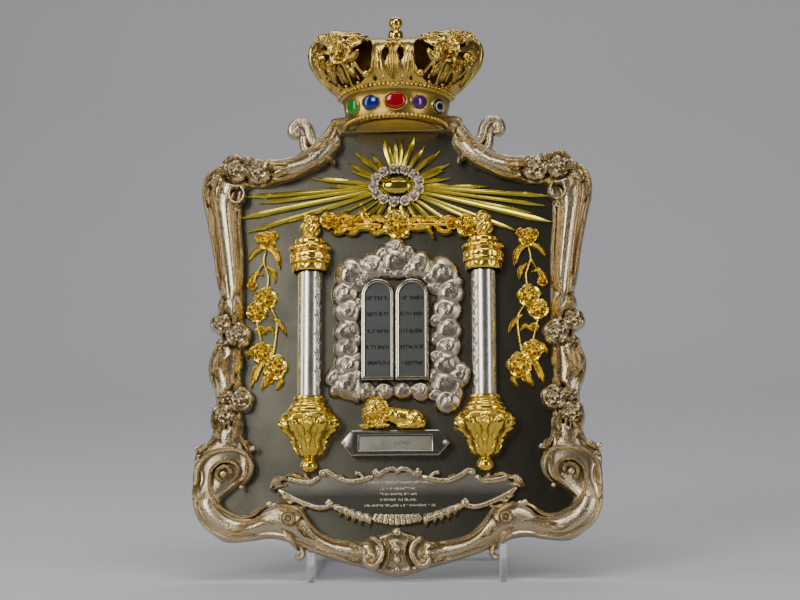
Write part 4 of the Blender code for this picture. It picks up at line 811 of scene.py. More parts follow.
def bright_silver():
    """The shafts' polished silver, which the tray's knobs share."""
    look = bpy.context.scene.torah_shield.columns
    return metal("bright silver", look.silver, (0.26, 0.24, 0.2), 0.27, 0.42, 0.15, 1.4, 0.6, 0.1)


def yellow_gilt():
    """The gilding of the columns and the lion."""
    look = bpy.context.scene.torah_shield.flowers
    return metal("yellow gilt", look.gilt, look.shadow, 0.18, 0.36, 0.35, 2.8, 0.9, 0.3)


def crown_profile(turn):
    """Radii and heights of the crown's wall at angles from its front, a row of the answer for each."""
    turn = np.asarray(turn, dtype=float)
    wide = np.sin(turn) ** 2
    tall = wide**2
    radii = [np.full_like(turn, out * MM) for out, _ in BAND_ROWS]
    heights = [np.full_like(turn, BAND_LOW + up * MM) for _, up in BAND_ROWS]
    for (side_out, side_up), (front_out, front_up) in zip(CROWN_SIDE, CROWN_FRONT):
        front = front_out * CROWN_REACH
        radii.append(front + (side_out * CROWN_HALF_WIDTH - front) * wide)
        heights.append(BAND_HIGH + front_up * FRONT_RISE * (1 - tall) + side_up * SIDE_RISE * tall)
    return np.stack(radii, axis=1), np.stack(heights, axis=1)


def crown_points(turn, row):
    """Places on the crown's outer face, smooth between the rows above its band."""
    radii, heights = crown_profile(turn)
    last = radii.shape[1] - 1
    row = np.clip(row, 0.0, last)
    low = np.minimum(np.floor(row).astype(int), last - 1)
    t = row - low
    index = np.arange(len(low))

    def read(table):
        floor = np.where(low >= 5, 4, 0)
        a = table[index, np.maximum(low - 1, floor)]
        b = table[index, low]
        c = table[index, low + 1]
        d = table[index, np.minimum(low + 2, last)]
        return np.where(low >= 4, cubic(a, b, c, d, t), b + (c - b) * t)

    radius = read(radii)
    height = read(heights)
    return np.stack([radius * np.sin(turn), height, CROWN_W + radius * np.cos(turn)], axis=1)


def on_crown(degrees, row, out):
    """Places that stand out from the crown's face by a distance, from turns in degrees and rows."""
    turn = np.radians(np.clip(degrees, -90, 90))
    spot = crown_points(turn, row)
    ahead, behind = (crown_points(np.clip(turn + step, -1.57, 1.57), row) for step in (0.01, -0.01))
    up = crown_points(turn, row + 0.05) - crown_points(turn, row - 0.05)
    spot = spot + unit(np.cross(ahead - behind, up)) * np.asarray(out)[:, None]
    spot[:, 2] = np.maximum(spot[:, 2], CROWN_W)
    return spot


def on_chart(x, y, out):
    """A place on the crown from millimetres across and up."""
    return on_crown(x / TURN_SCALE, y / ROW_SCALE, out)


def crown_pearl(bm, degrees, row, out, radius, detail=2):
    """A bead on the crown, which stands out by a number of millimetres."""
    spot = on_crown(np.array([float(degrees)]), np.array([float(row)]), np.array([out * MM]))[0]
    pearl(bm, spot, radius, detail)


def on_stone(stone, share, t, rise):
    """Places on the band round a stone's middle, at shares of its half size and of a turn."""
    _, turn, half_width, half_height = stone
    angle = 2 * np.pi * t
    degrees = turn + half_width * share * np.cos(angle) / BAND_DEGREE
    row = STONE_ROW + half_height * share * np.sin(angle) / BAND_ROW
    return on_crown(degrees, row, rise * MM)


def pierced(degrees, row):
    """How far a place on the crown lies inside its metal, in millimetres, and below zero in its openings."""
    x = np.abs(degrees) * TURN_SCALE
    y = row * ROW_SCALE
    middle_x, middle_y, half_x, half_y = PANEL
    reach = np.abs((x - middle_x) / half_x) ** PANEL_POWER + np.abs((y - middle_y) / half_y) ** PANEL_POWER
    reach = reach ** (1 / PANEL_POWER)
    deep = (reach - 1) * min(half_x, half_y)
    for points, half_width in CROWN_STRAPS:
        dense = spline(points) * np.array([TURN_SCALE, ROW_SCALE])
        for a, b in zip(dense[:-1:3], dense[3::3]):
            leg = b - a
            share = np.clip(((x - a[0]) * leg[0] + (y - a[1]) * leg[1]) / max(leg @ leg, 1e-9), 0, 1)
            away = np.hypot(x - a[0] - share * leg[0], y - a[1] - share * leg[1])
            deep = np.maximum(deep, half_width - away)
    for turn, level, radius, _ in CROWN_ROSES:
        deep = np.maximum(deep, 0.86 * radius - np.hypot(x - turn * TURN_SCALE, y - level * ROW_SCALE))
    for turn, level, half_width, half_height in CROWN_HOLES:
        away = np.hypot((x - turn * TURN_SCALE) / half_width, (y - level * ROW_SCALE) / half_height)
        deep = np.minimum(deep, (away - 1) * half_width)
    return deep


class FrameSettings(bpy.types.PropertyGroup):
    """Sizes and colours of the cast frame."""

    relief: FloatProperty(
        name="Relief", description="Height of the frame's mouldings", default=0.011, unit="LENGTH")
    silver: FloatVectorProperty(
        name="Silver", description="Colour of its rubbed silver", default=(0.6, 0.5, 0.325), subtype="COLOR")
    # The colour of oxide and of painted shade in the frame's hollows.
    tarnish_and_shade: FloatVectorProperty(
        name="Tarnish and Shade", description="Colour of its hollows", default=(0.06, 0.046, 0.025), subtype="COLOR")


class CrownSettings(bpy.types.PropertyGroup):
    """Sizes and colours of the crown."""

    wall: FloatProperty(
        name="Wall", description="Thickness of the crown's wall", default=0.0016, unit="LENGTH")
    pearl: FloatProperty(
        name="Pearl", description="Radius of the band's beads", default=0.0015, unit="LENGTH")
    gilt: FloatVectorProperty(
        name="Gilt", description="Colour of its gilding", default=(0.62, 0.44, 0.1), subtype="COLOR")
    shadow: FloatVectorProperty(
        name="Hollows", description="Colour of its hollows", default=(0.13, 0.06, 0.012), subtype="COLOR")


class FlowerSettings(bpy.types.PropertyGroup):
    """Colours of the garland, the sprays and the lion."""

    gilt: FloatVectorProperty(
        name="Gilt", description="Colour of their gilding", default=(0.82, 0.58, 0.08), subtype="COLOR")
    shadow: FloatVectorProperty(
        name="Hollows", description="Colour of their hollows", default=(0.16, 0.08, 0.006), subtype="COLOR")


class SunburstSettings(bpy.types.PropertyGroup):
    """Sizes and colours of the rays."""

    ridge: FloatProperty(name="Ridge", description="Height of a ray's ridge", default=0.0022, unit="LENGTH")
    gilt: FloatVectorProperty(
        name="Gilt", description="Colour of the rays", default=(0.54, 0.44, 0.05), subtype="COLOR")


class ColumnSettings(bpy.types.PropertyGroup):
    """Sizes and colours of the columns."""

    lobes: IntProperty(name="Lobes", description="Leaves round half of a base", default=5, min=3)
    silver: FloatVectorProperty(
        name="Silver", description="Colour of the shafts", default=(0.6, 0.57, 0.5), subtype="COLOR")


class CloudSettings(bpy.types.PropertyGroup):
    """Sizes and colours of the clouds."""

    relief: FloatProperty(name="Relief", description="Height of a puff", default=0.0081, unit="LENGTH")
    silver: FloatVectorProperty(
        name="Silver", description="Colour of their silver", default=(0.46, 0.39, 0.29), subtype="COLOR")
    # The colour of oxide and of painted shade between the puffs and in their creases.
    tarnish_and_shade: FloatVectorProperty(
        name="Tarnish and Shade", description="Colour of their hollows", default=(0.1, 0.07, 0.05), subtype="COLOR")


class StageSettings(bpy.types.PropertyGroup):
    """The paper of the floor and backdrop, and the strength of the light."""

    paper: FloatVectorProperty(
        name="Paper", description="Colour of the floor and backdrop", default=(0.49, 0.485, 0.51),
        subtype="COLOR")
    light: FloatProperty(name="Light", description="Strength of the soft lights", default=1.0, min=0.0)


class ShieldSettings(bpy.types.PropertyGroup):
    """Everything that can be set."""

    frame: PointerProperty(type=FrameSettings)
    crown: PointerProperty(type=CrownSettings)
    flowers: PointerProperty(type=FlowerSettings)
    sunburst: PointerProperty(type=SunburstSettings)
    columns: PointerProperty(type=ColumnSettings)
    clouds: PointerProperty(type=CloudSettings)
    stage: PointerProperty(type=StageSettings)


class SHIELD_OT_plates(bpy.types.Operator):
    """Finishes the backplate and the plate behind the crown"""

    bl_idname = "shield.plates"
    bl_label = "Plates"

    def execute(self, context):
        # The fade along X paints the backplate lighter at the left and darker at the right: a painted
        # reflection of the light at the left.
        sheet_silver = metal("sheet silver", (0.255, 0.245, 0.185), (0.06, 0.05, 0.036), 0.28, 0.42, 0.0, 0.0,
                             1.3, 0.16, cloud_scale=22.0, stretch=BRUSHING, fade=("X", -0.1, 0.1))
        softened("plate", "backplate", 0.0003, sheet_silver, 1)
        # The fade along Z keeps this plate bright only in the strip below the band and paints it very dark
        # above: painted shade inside the crown.
        back_gilt = metal("back gilt", (0.62, 0.42, 0.1), (0.045, 0.018, 0.008), 0.28, 0.5, 0.0, 0.0, 0.9,
                          0.12, cloud_scale=60.0, fade=("Z", PLANE_Z + 0.149, PLANE_Z + 0.156))
        softened("crown_plate", "crown_back", 0.0004, back_gilt, 1)
        bm = bmesh.new()

        def lip(s, t):
            angle = np.pi * s
            out = LIP_RADIUS * np.abs(2 * t - 1)
            v = BAND_LOW + np.where(t > 0.5, 1.0, 0.2) * MM
            return np.stack([out * np.cos(angle), v, CROWN_W + out * np.sin(angle)], axis=1)

        sheet(bm, 48, 20, lip)
        bmesh.ops.recalc_face_normals(bm, faces=bm.faces)
        lip_gilt = metal("lip gilt", (0.95, 0.7, 0.2), (0.5, 0.33, 0.06), 0.5, 0.6, 0.0, 0.0, 0.6, 0.1,
                         cloud_scale=60.0)
        finish("crown_lip", bm, lip_gilt, [], sharp=30)
        return {"FINISHED"}


class SHIELD_OT_frame(bpy.types.Operator):
    """Builds the cast frame with its scrolls, leaves, roses and volutes"""

    bl_idname = "shield.frame"
    bl_label = "Frame"

    def execute(self, context):
        settings = context.scene.torah_shield.frame
        bm = bmesh.new()
        bits = spline(FRAME_EDGES) * np.array([1.0, 1.0, 1.0, 1.0, settings.relief])
        pits = [spot[:3] for spot in FRAME_ROSES if spot[2] > LARGE_ROSE]
        pits += [(*EYE[:2], 3.8), (*HOLLOW[:2], 4.8)]

        def body(s, t):
            place = read_off(s, bits)
            share = np.clip((t * 30 - 1) / 28, 0, 1)
            u = place[:, 0] + (place[:, 2] - place[:, 0]) * share
            v = place[:, 1] + (place[:, 3] - place[:, 1]) * share
            rise = 0.42 + 0.56 * np.sin(np.pi * share) ** 0.9
            for rim, width, tall in ((0.1, 0.05, 0.22), (0.9, 0.055, 0.26)):
                rise += tall * np.exp(-(((share - rim) / width) ** 2))
            on_shaft = np.clip((v + 6) / 12, 0, 1) * np.clip((96 - v) / 12, 0, 1)
            rise += 0.045 * (np.cos(2 * np.pi * 3 * share) - 0.4) * on_shaft
            edge = np.minimum(share, 1 - share)
            rise *= 0.3 + 0.7 * np.sqrt(np.clip(1 - (1 - np.minimum(edge / 0.1, 1.0)) ** 2, 0, 1))
            for pit_u, pit_v, radius in pits:
                away = np.hypot(u - pit_u, v - pit_v) / radius
                rise *= 1 - 0.6 * np.clip((1.16 - away) * 5, 0, 1)
            rise *= 1 - 0.36 * np.clip((21 - u) / 5, 0, 1) * np.clip((-171 - v) / 4, 0, 1)
            w = place[:, 4] * np.minimum(rise, 1.0)
            return raised(u, v, np.where((t < 1e-4) | (t > 1 - 1e-4), 0.0, w))

        def back(s, t):
            place = read_off(s, bits)
            u = place[:, 0] + (place[:, 2] - place[:, 0]) * t
            return raised(u, place[:, 1] + (place[:, 3] - place[:, 1]) * t, np.zeros_like(t))

        def eye(s, t):
            angle = 2 * np.pi * t
            rise = np.where(s > RIM, 0.0, 0.86 + 0.14 * np.cos(2 * np.pi * 1.8 * s))
            u, v, radius = EYE
            u, v = u + radius * s * np.cos(angle), v + radius * s * np.sin(angle)
            return raised(u, v, (6 + 9.4 * rise) * MM)

        sheet(bm, 420, 30, body)
        sheet(bm, 120, 1, back, down=True)
        for points, half_width, height in FRAME_ROLLS:
            roll(bm, points, half_width, 3 * MM, height * MM, groove=0.18)
        for i, (u, v, radius, height) in enumerate(FRAME_ROSES):
            rose(bm, u, v, radius, 1 * MM, height * MM, 5, i * 0.7, full=0.85)
        for root, middle, tip, half_width, height in FRAME_LEAVES:
            leaf(bm, root, middle, tip, half_width * 1.15, 4.5 * MM, (0.6 * height + 7.2) * MM)
        pearls(bm, ((125.4, -128.6, 11, 2.6),), 3)
        turns = [math.radians(100 + 330 * k / 12) for k in range(13)]
        u, v, half_width, half_height = HOLLOW
        ring = [(u + half_width * math.cos(turn), v + half_height * math.sin(turn)) for turn in turns]
        roll(bm, ring, 1.7, 4 * MM, 13.4 * MM, (0.5, 0.9), 0.1, 60)
        for u, v, radius in FRAME_BEADS:
            pearl(bm, (u * MM, v * MM, radius * MM + 5 * MM), radius * MM)
        sheet(bm, 18, 32, eye, True)
        for points, half_width, height, ends in CLASP_ROLLS:
            roll(bm, points, half_width, 3 * MM, height * MM, ends)
        for vert in bm.verts:
            vert.co.x = min(max(vert.co.x, 0.0), FRAME_LIMIT)
        mirror_over(bm)
        pearls(bm, CLASP_PEARLS)
        finish("frame_cast", bm, silver_cast(), ["frame"], reach=12 * MM)
        return {"FINISHED"}


class SHIELD_OT_crown(bpy.types.Operator):
    """Builds the crown: pierced wall, band, beads, bezels, stones and finial"""

    bl_idname = "shield.crown"
    bl_label = "Crown"

    def execute(self, context):
        settings = context.scene.torah_shield.crown
        bm = bmesh.new()
        made = bmesh.ops.create_grid(bm, x_segments=250, y_segments=110, size=0.5)["verts"]
        share = np.array([vert.co for vert in made]) + 0.5
        degrees = (share[:, 0] - 0.5) * 180
        row = 4 + 10 * share[:, 1]
        depths = pierced(degrees, row)
        for vert, point in zip(made, on_crown(degrees, row, np.clip(depths, 0, 2.0) * 0.35 * MM)):
            vert.co = point
        open_verts = {vert for vert, deep in zip(made, depths) if deep < 0}
        gone = [face for face in bm.faces if sum(vert in open_verts for vert in face.verts) >= 2]
        bmesh.ops.delete(bm, geom=gone, context="FACES")
        bmesh.ops.delete(bm, geom=[vert for vert in bm.verts if not vert.link_faces], context="VERTS")
        rim = [vert for vert in bm.verts if vert.is_boundary and vert.co.z > CROWN_W + 2 * MM]
        for _ in range(4):
            bmesh.ops.smooth_vert(
                bm, verts=rim, factor=0.5, use_axis_x=True, use_axis_y=True, use_axis_z=True)

        def band(s, t):
            return on_crown((s - 0.5) * 180, 4 * t, np.zeros_like(s))

        sheet(bm, 90, 16, band)
        bm.normal_update()
        bmesh.ops.solidify(bm, geom=bm.verts[:] + bm.edges[:] + bm.faces[:], thickness=settings.wall)
        for vert in bm.verts:
            vert.co.z = max(vert.co.z, CROWN_W)
        for row, count, out in BEAD_ROWS:
            for i in range(count):
                crown_pearl(bm, -87 + 174 * i / (count - 1), row, out, settings.pearl)
        for side in (-1, 1):
            for root, middle, tip, half_width in CROWN_LEAVES:
                self.blade(bm, [(side * turn, row) for turn, row in (root, middle, tip)], half_width)
            for turn, row, radius, height in CROWN_ROSES:
                rose(bm, side * turn, row, radius, -0.4 * MM, height * MM, 5, turn * 0.3, on_crown,
                     (1.1, 0.17), 0.25)
            crown_pearl(bm, side * 24.5, 5.4, 1.8, 3.0 * MM, 3)
            for turn, row, radius in CROWN_PEARLS:
                crown_pearl(bm, side * turn, row, 0.9, radius * MM)

        def shell(s, t):
            x = 2 * s - 1
            flute = np.abs(np.cos(2.5 * np.pi * x))
            degrees = x * (2.2 + 3.6 * np.sin(np.pi * np.clip(1.1 * t, 0, 1)) ** 1.5)
            row = 4.6 + 4.9 * t * (1 - 0.1 * x * x)
            return on_crown(degrees, row, (0.2 + 2.0 * (1 - x * x) * (0.5 + 0.5 * flute)) * MM)

        sheet(bm, 30, 18, shell)
        for side in (-1, 1):
            rib = ((11.0, 4.4), (12.0, 6.5), (13.5, 8.5), (16.5, 10.4), (22.0, 11.8))
            line = [(side * turn * TURN_SCALE, row * ROW_SCALE) for turn, row in rib]
            roll(bm, line, 2.6, 0.0, 1.3 * MM, (0.7, 0.7), 0.25, wrap=on_chart)
        for turn, row in ((-6.5, 8.9), (6.5, 8.9), (0, 9.2)):
            crown_pearl(bm, turn, row, 0.8, 1.5 * MM)
        for stone in STONES:

            def bezel(s, t):
                rise = 1.1 * np.sin(np.pi * np.clip(0.15 + 0.85 * s, 0, 1)) + 0.2
                return on_stone(stone, 1.0 + 0.16 * s, t, rise)

            sheet(bm, 6, 36, bezel, True)
        gilt = metal("pale gilt", settings.gilt, settings.shadow, 0.24, 0.42, 0.4, 3.0, 0.6, 0.5)
        finish("crown_openwork", bm, gilt, ["crown"], reach=20 * MM)
        self.stones()
        self.finial()
        return {"FINISHED"}

    def blade(self, bm, points, half_width):
        """A leaf on the crown's face, which lifts off it towards its tip."""
        dense = spline(points)
        slope = np.gradient(dense * np.array([TURN_SCALE, ROW_SCALE]), axis=0)

        def place(s, t):
            x = -np.cos(2 * np.pi * t)
            front = np.sin(2 * np.pi * t) > 1e-6
            spot = read_off(s, dense)
            heading = unit(read_off(s, slope))
            swell = np.sin(np.pi * np.clip(0.06 + 0.94 * s, 0, 1)) ** 0.7
            wide = half_width * swell * np.minimum(1.0, s * 30)
            wide *= 1 - 0.3 * np.abs(np.sin(3 * np.pi * s)) * (1 - s)
            vein = np.abs(np.sin(np.pi * (5 * s - 0.8 * np.abs(x))))
            lifted = 0.1 + 1.1 * s * s
            crest = (1 - np.abs(x) ** 2.2) * (1.0 + 0.5 * vein) + 0.6 * np.exp(-((x / 0.15) ** 2))
            rise = lifted + np.where(front, crest, -0.5) * np.minimum(1.0, (1 - s) * 8)
            degrees = spot[:, 0] - heading[:, 1] * x * wide / TURN_SCALE
            row = spot[:, 1] + heading[:, 0] * x * wide / ROW_SCALE
            return on_crown(degrees, row, rise * MM)

        sheet(bm, 14, 18, place, True)

    def stones(self):
        """The domed stones, and the pale ring on the black one, a painted highlight."""
        for stone in STONES:
            bm = bmesh.new()

            def dome(s, t):
                return on_stone(stone, s, t, 0.3 + 1.7 * np.sqrt(np.clip(1 - s * s, 0, 1)))

            sheet(bm, 14, 40, dome, True)
            name = stone[0]
            look = stone_material(f"{name} stone", STONE_COLOURS[name])
            finish(f"{name}_cabochon", bm, look, [f"stone_{name}"])
        # A pale ring laid on the black stone's dome: a painted highlight.
        bm = bmesh.new()

        def ring(s, t):
            share = 0.5 + 0.2 * s
            rise = 0.3 + 1.7 * np.sqrt(1 - share * share) + 0.14 * np.sin(np.pi * s) - 0.02
            return on_stone(STONES[-1], share, t, rise)

        sheet(bm, 6, 40, ring, True)
        finish("pale_ring", bm, stone_material("painted highlight", (0.6, 0.6, 0.62)), [])

    def finial(self):
        """The double ball with its two collars."""
        bm = bmesh.new()
        foot = BAND_HIGH + FRONT_RISE + 0.3 * MM
        middle = CROWN_W + 5.2 * MM
        for height, radius in ((5.2, 5.8), (14.8, 5.1)):
            pearl(bm, (0, foot + height * MM, middle), radius * MM, 4)
        for height, radius in ((10.3, 2.6), (0.9, 3.0)):
            place = Matrix.Translation((0, foot + height * MM, middle))
            place = place @ Matrix.Rotation(-math.pi / 2, 4, "X")
            bmesh.ops.create_cone(bm, cap_ends=True, segments=32, radius1=radius * MM, radius2=radius * MM,
                                  depth=0.9 * MM, matrix=place)
        gilt = metal("polished gilt", (0.72, 0.52, 0.13), (0.2, 0.12, 0.02), 0.12, 0.25, 0.0, 0.6, 0.4, 0.06)
        finish("finial_balls", bm, gilt, ["finial"], sharp=40)


class SHIELD_OT_sunburst(bpy.types.Operator):
    """Builds the rays, the boss and the wreath round it"""

    bl_idname = "shield.sunburst"
    bl_label = "Sunburst"

    def execute(self, context):
        settings = context.scene.torah_shield.sunburst
        olive = metal("olive gilt", settings.gilt, (0.16, 0.12, 0.012), 0.22, 0.38, 0.1, 0.5, 0.9, 0.1)
        bm = bmesh.new()
        middle = np.array(SUN_MIDDLE)
        for i, (u, v, half_width) in enumerate(RAYS):
            leg = np.array([u, v]) - middle
            length = np.linalg.norm(leg)
            heading = leg / length
            across = np.array([heading[1], -heading[0]])

            def bar(s, t):
                x = 2 * t - 1
                cut = 1.0 - 0.05 * (1 + x * (1 if i % 2 else -1)) * min(1.0, 40 / length)
                reach = 9 + (length * cut - 9) * s
                wide = 1.35 * half_width * np.minimum(1.0, 0.3 + 30 * s / length)
                wide = wide * np.minimum(1.0, (1.03 - s) * length / 16)
                spot = middle + heading * reach[:, None] + across * (x * wide)[:, None]
                rise = np.where(np.abs(x) > RIM, 0.2, 0.62 + 0.38 * (1 - np.abs(x)))
                rise = np.where((s > RIM) & (np.abs(x) > RIM), 0.0, rise)
                return raised(spot[:, 0], spot[:, 1], settings.ridge * rise - 0.03 * MM * (i % 5))

            sheet(bm, 8, 8, bar)
        finish("sun_rays", bm, olive, ["sunburst"], sharp=18)
        bm = bmesh.new()

        def boss(s, t):
            angle = 2 * np.pi * t
            rise = np.sqrt(np.clip(1 - s * s, 0, 1))
            v = SUN_MIDDLE[1] + 6.5 * s * np.sin(angle)
            return raised(11.4 * s * np.cos(angle), v, OVER_RAYS + 4.4 * MM * rise)

        sheet(bm, 14, 48, boss, True)
        boss_gilt = metal("boss gilt", (0.6, 0.47, 0.07), (0.12, 0.09, 0.01), 0.12, 0.25, 0.3, 1.0, 0.5, 0.05)
        finish("sun_boss", bm, boss_gilt, ["sunburst_boss"])
        bm = bmesh.new()
        for i in range(13):
            angle = 2 * math.pi * (i + 0.5) / 13
            u, v = 17.2 * math.cos(angle), SUN_MIDDLE[1] + 12.6 * math.sin(angle)
            rose(bm, u, v, 4.3, OVER_RAYS, OVER_RAYS + 4.2 * MM, 5, i, full=0.4)
        for i in range(30):
            angle = 2 * math.pi * i / 30
            v = SUN_MIDDLE[1] + 9.5 * math.sin(angle)
            pearl(bm, (14.2 * math.cos(angle) * MM, v * MM, OVER_RAYS + 1.2 * MM), 0.9 * MM, 1)
        wreath = metal("wreath silver", (0.85, 0.76, 0.66), (0.16, 0.12, 0.09), 0.2, 0.4, 0.1, 3.0, 0.4, 0.2)
        finish("rosette_ring", bm, wreath, ["rosette_wreath"])
        return {"FINISHED"}


class SHIELD_OT_flowers(bpy.types.Operator):
    """Builds the garland and the two flower sprays"""

    bl_idname = "shield.flowers"
    bl_label = "Garland and sprays"

    def execute(self, context):
        gilt = metal("rich gilt", (0.92, 0.69, 0.1), (0.24, 0.14, 0.01), 0.2, 0.34, 0.15, 2.0, 0.4, 0.25)
        bm = bmesh.new()
        for root, middle, tip, half_width in GARLAND_LEAVES:
            leaf(bm, root, middle, tip, half_width, OVER_RAYS, OVER_RAYS + 4.4 * MM)
        for stem in GARLAND_STEMS:
            roll(bm, stem, 1.2, OVER_RAYS, OVER_RAYS + 2.6 * MM)
        for i, (u, v, radius, height) in enumerate(GARLAND_ROSES):
            petals = 5 if radius < 9 else 7
            rose(bm, u, v, radius * 1.18, OVER_RAYS, OVER_RAYS + height * MM, petals, i * 0.9, full=0.15)
        finish("garland_chased", bm, gilt, ["garland"], reach=9 * MM)
        for name in ("left", "right"):
            bm = bmesh.new()
            for points in SPRAY_ROLLS:
                roll(bm, points, 0.9, 0.0, 2.4 * MM)
            for root, middle, tip, half_width in SPRAY_LEAVES:
                leaf(bm, root, middle, tip, half_width, 0.0, 3.4 * MM)
            for i, (u, v, radius, height) in enumerate(SPRAY_ROSES):
                rose(bm, u, v, radius * 1.2, 0.0, height * 0.92 * MM, 5, i * 0.8, full=0.2)
            if name == "left":
                bmesh.ops.scale(bm, vec=(-1.0, 1.0, 1.0), verts=bm.verts)
                bmesh.ops.reverse_faces(bm, faces=bm.faces)
            finish(f"flowers_{name}", bm, gilt, [f"spray_{name}"], reach=5 * MM)
        return {"FINISHED"}


class SHIELD_OT_columns(bpy.types.Operator):
    """Builds the turned and chased columns"""

    bl_idname = "shield.columns"
    bl_label = "Columns"

    def execute(self, context):
        lobes = context.scene.torah_shield.columns.lobes
        gilt = yellow_gilt()

        def turned(bm, middle, rows, start, down, columns, steps, carve, rays_from=math.inf, closed=True):
            dense = spline(rows)

            def place(s, t):
                profile = read_off(t, dense)
                share = np.clip((s * columns - 1) / (columns - 2), 0, 1)
                angle = np.pi * share
                v = start + down * profile[:, 1]
                radius = profile[:, 0] * (1 + carve(share, profile[:, 1]))
                w = AXIS_W + radius * np.sin(angle) * MM
                back = np.where(v > rays_from, OVER_RAYS, 0.0)
                w = np.where((s < 1e-4) | (s > 1 - 1e-4), back, np.maximum(w, back + 0.1 * MM))
                radius = np.where(t > 0.9999, 0.3, radius) if closed else radius
                return raised(middle + radius * np.cos(angle), v, w)

            sheet(bm, columns, steps, place)

        def capital(share, height):
            leafy = ((height > 1) & (height < 13.5)) * np.abs(np.cos(4.5 * np.pi * share)) ** 0.7
            beads = ((height > 16) & (height < 19.5)) * np.abs(np.cos(11 * np.pi * share))
            bud = (height > 27) * np.abs(np.cos(3 * np.pi * share + height * 0.3))
            swell = np.sin(np.clip((height - 1) / 6.2, 0, 2) * np.pi) ** 2
            return 0.06 * leafy * swell - 0.03 + 0.025 * beads - 0.16 * (1 - bud) * (height > 27)

        def foot(share, height):
            x = share * lobes - np.floor(share * lobes) - 0.5
            t = np.clip((height - 12.5) / 29, 0, 1)
            edge = 0.47 * (1 - 0.35 * np.abs(np.sin(3 * np.pi * t)) - 0.3 * t)
            on_leaf = np.clip((edge - np.abs(x)) * 12, 0, 1)
            vein = np.sin(2 * np.pi * (7 * t - 1.9 * np.abs(x)))
            rib = np.exp(-((x / 0.08) ** 2))
            bulb = np.clip((height - 15.0) / 3, 0, 1) * np.clip((44 - height) / 2, 0, 1)
            crown = 0.05 * np.sin(np.pi * np.clip(t * 2.2, 0, 1)) * (1 - (2 * x) ** 2)
            return bulb * (-0.13 * (1 - on_leaf) - 0.06 + 0.022 * vein * on_leaf + 0.045 * rib + crown)

        def plain(share, height):
            return 0.0

        for name, side in (("left", -1), ("right", 1)):
            middle = side * COLUMN_U
            bm = bmesh.new()
            turned(bm, middle, CAPITAL_ROWS, 20.8, 1.0, 60, 90, capital, RAYS_FROM)
            for i in range(9):
                angle = math.pi * (i + 0.5) / 9
                u, w = middle + 13.9 * math.cos(angle), AXIS_W + 13.9 * math.sin(angle) * MM
                pearl(bm, (u * MM, 27.4 * MM, w), 1.1 * MM, 1)
            finish(f"capital_{name}", bm, gilt, [f"column_{name}_capital"], reach=14 * MM)
            bm = bmesh.new()
            turned(bm, middle, BASE_ROWS, -71.8, -1.0, 72, 110, foot)
            finish(f"base_{name}", bm, gilt, [f"column_{name}_base"], reach=16 * MM)
            bm = bmesh.new()
            shaft = [(SHAFT_RADIUS, height) for height in (0.0, 30.0, 92.0)]
            turned(bm, middle, shaft, -71.5, 1.0, 48, 12, plain, closed=False)

            def vine(u, v, w):
                out = SHAFT_RADIUS * MM + w
                return np.stack([middle * MM + out * np.cos(u), v * MM, AXIS_W + out * np.sin(u)], axis=1)

            inner = math.pi / 2 + side * 0.86
            for k in range(12):
                low = -66 + VINE_STEP * k
                bend = 0.2 if k % 2 else -0.2
                steps = [j / 4 for j in range(5)]
                stem = [(inner - bend * math.sin(math.pi * j) * 0.7, low + VINE_STEP * j) for j in steps]
                roll(bm, stem, 0.06, 0.0, 0.4 * MM, wrap=vine)
                tip = inner + 1.9 * bend
                root, belly = (inner, low + 1.5), (inner + bend, low + 4.6)
                leaf(bm, root, belly, (tip, low + 6.4), 0.2, 0.0, 0.6 * MM, 3, vine)
            finish(f"shaft_{name}", bm, bright_silver(), [f"column_{name}_shaft"], sharp=50,
                   reach=4 * MM)
        return {"FINISHED"}


class SHIELD_OT_clouds(bpy.types.Operator):
    """Builds the clouds behind the tablets"""

    bl_idname = "shield.clouds"
    bl_label = "Clouds"

    def execute(self, context):
        settings = context.scene.torah_shield.clouds
        bm = bmesh.new()
        ground = bmesh.ops.create_circle(bm, cap_ends=True, segments=len(CLOUD_OUTLINE), radius=1.0)["verts"]
        for vert, (u, v) in zip(ground, CLOUD_OUTLINE):
            vert.co = Vector((u * MM, v * MM, 2.5 * MM))
        for face in bm.faces:
            face.normal_update()
        if sum(face.normal.z for face in bm.faces) < 0:
            bmesh.ops.reverse_faces(bm, faces=bm.faces)
        for u, v, radius, turn in PUFFS:
            share = 0.72 + 0.03 * radius
            puff(bm, u, v, radius * 1.09, turn, 0.1 * MM, settings.relief * min(share, 1.0))
        # Low 1.3 and hollows 3.0 darken the ground between the puffs and their creases: painted shade, with
        # some oxide.
        silver = metal("cloud silver", settings.silver, settings.tarnish_and_shade, 0.26, 0.46, 1.3, 3.0, 0.8, 0.6)
        finish("cloud_puffs", bm, silver, ["cloud_surround"], reach=8 * MM)
        return {"FINISHED"}


